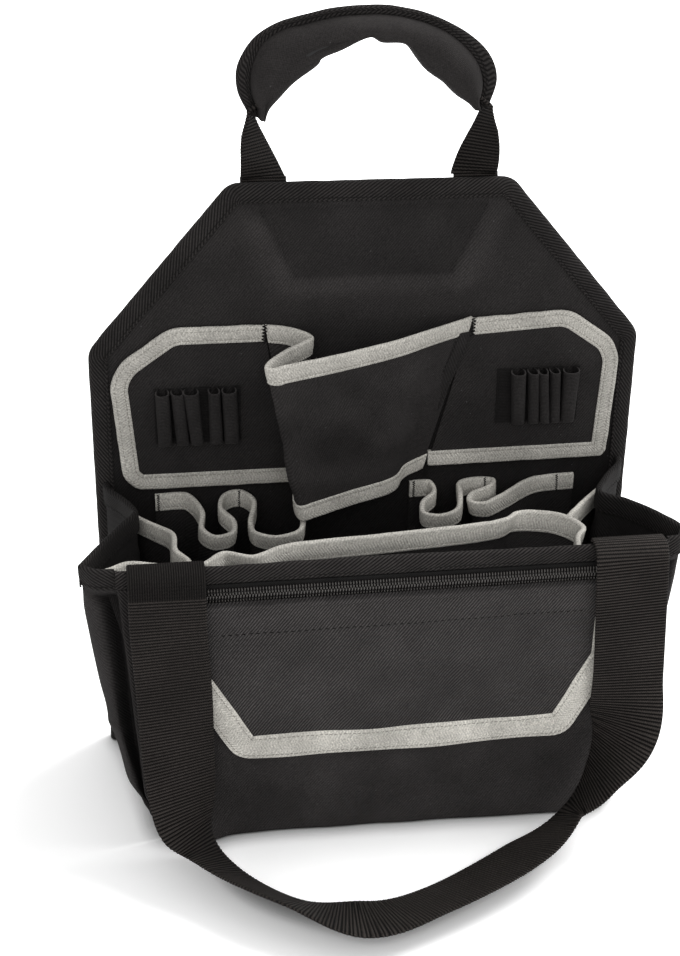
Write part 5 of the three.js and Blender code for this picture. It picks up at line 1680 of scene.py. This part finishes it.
def seen_rays(tree):
    """1 for the rays that show the background itself: camera, transmission and glossy rays."""
    rays = tree.nodes.new("ShaderNodeLightPath").outputs
    camera, through, glossy = (Value(rays[f"Is {kind} Ray"]) for kind in ("Camera", "Transmission", "Glossy"))
    return (camera + through).math("ADD", glossy, clamp=True)


def make_world():
    world = bpy.data.worlds.new("studio")
    world.use_nodes = True
    tree = world.node_tree
    tree.nodes.clear()
    soft, white = (node_of(tree, "ShaderNodeBackground", Color=WHITE, Strength=strength)
                   for strength in (WORLD_LIGHT, 1.0))
    either = tree.nodes.new("ShaderNodeMixShader")
    for socket, value in zip(either.inputs, (seen_rays(tree), Value(soft.outputs[0]), Value(white.outputs[0]))):
        put(socket, value)
    put(tree.nodes.new("ShaderNodeOutputWorld").inputs[0], Value(either.outputs[0]))
    bpy.context.scene.world = world


def make_floor():
    """A pale floor that shows white where no shadow falls; ambient occlusion darkens it near the bag, a painted
    contact shadow.
    """
    mesh = bpy.data.meshes.new("floor")
    mesh.from_pydata([(-9, -9, 0), (9, -9, 0), (9, 9, 0), (-9, 9, 0)], [], [(0, 1, 2, 3)])
    floor = bpy.data.objects.new("floor", mesh)
    bpy.context.scene.collection.objects.link(floor)
    material, tree, shader = new_material("pale floor")
    seen = seen_rays(tree)
    contact_shade = node_of(tree, "ShaderNodeAmbientOcclusion", Distance=CONTACT_REACH)
    place = tree.nodes.new("ShaderNodeVectorMath")
    place.operation = "LENGTH"
    put(place.inputs[0], Value(tree.nodes.new("ShaderNodeTexCoord").outputs["Object"]))
    away = Value(place.outputs["Value"]).between(0.0, 1.0, FLOOR_NEAR, FLOOR_FAR)
    fill(shader, Roughness=1.0, Specular_IOR_Level=0.0, Emission_Color=WHITE, Emission_Strength=seen * away,
         Base_Color=seen.scaled(FLOOR_SEEN, FLOOR_COLOUR) * Value(contact_shade.outputs["AO"]))
    mesh.materials.append(material)


make_camera()
make_world()
make_floor()
area_light("key", (1.9, 0.7, 3.0), (0.0, 0.0, 0.15), 2.2, 100)
area_light("front", (-0.6, -3.2, 2.2), (0.0, 0.0, 0.2), 3.4, 32)
bpy.context.scene.view_settings.view_transform = "Standard"
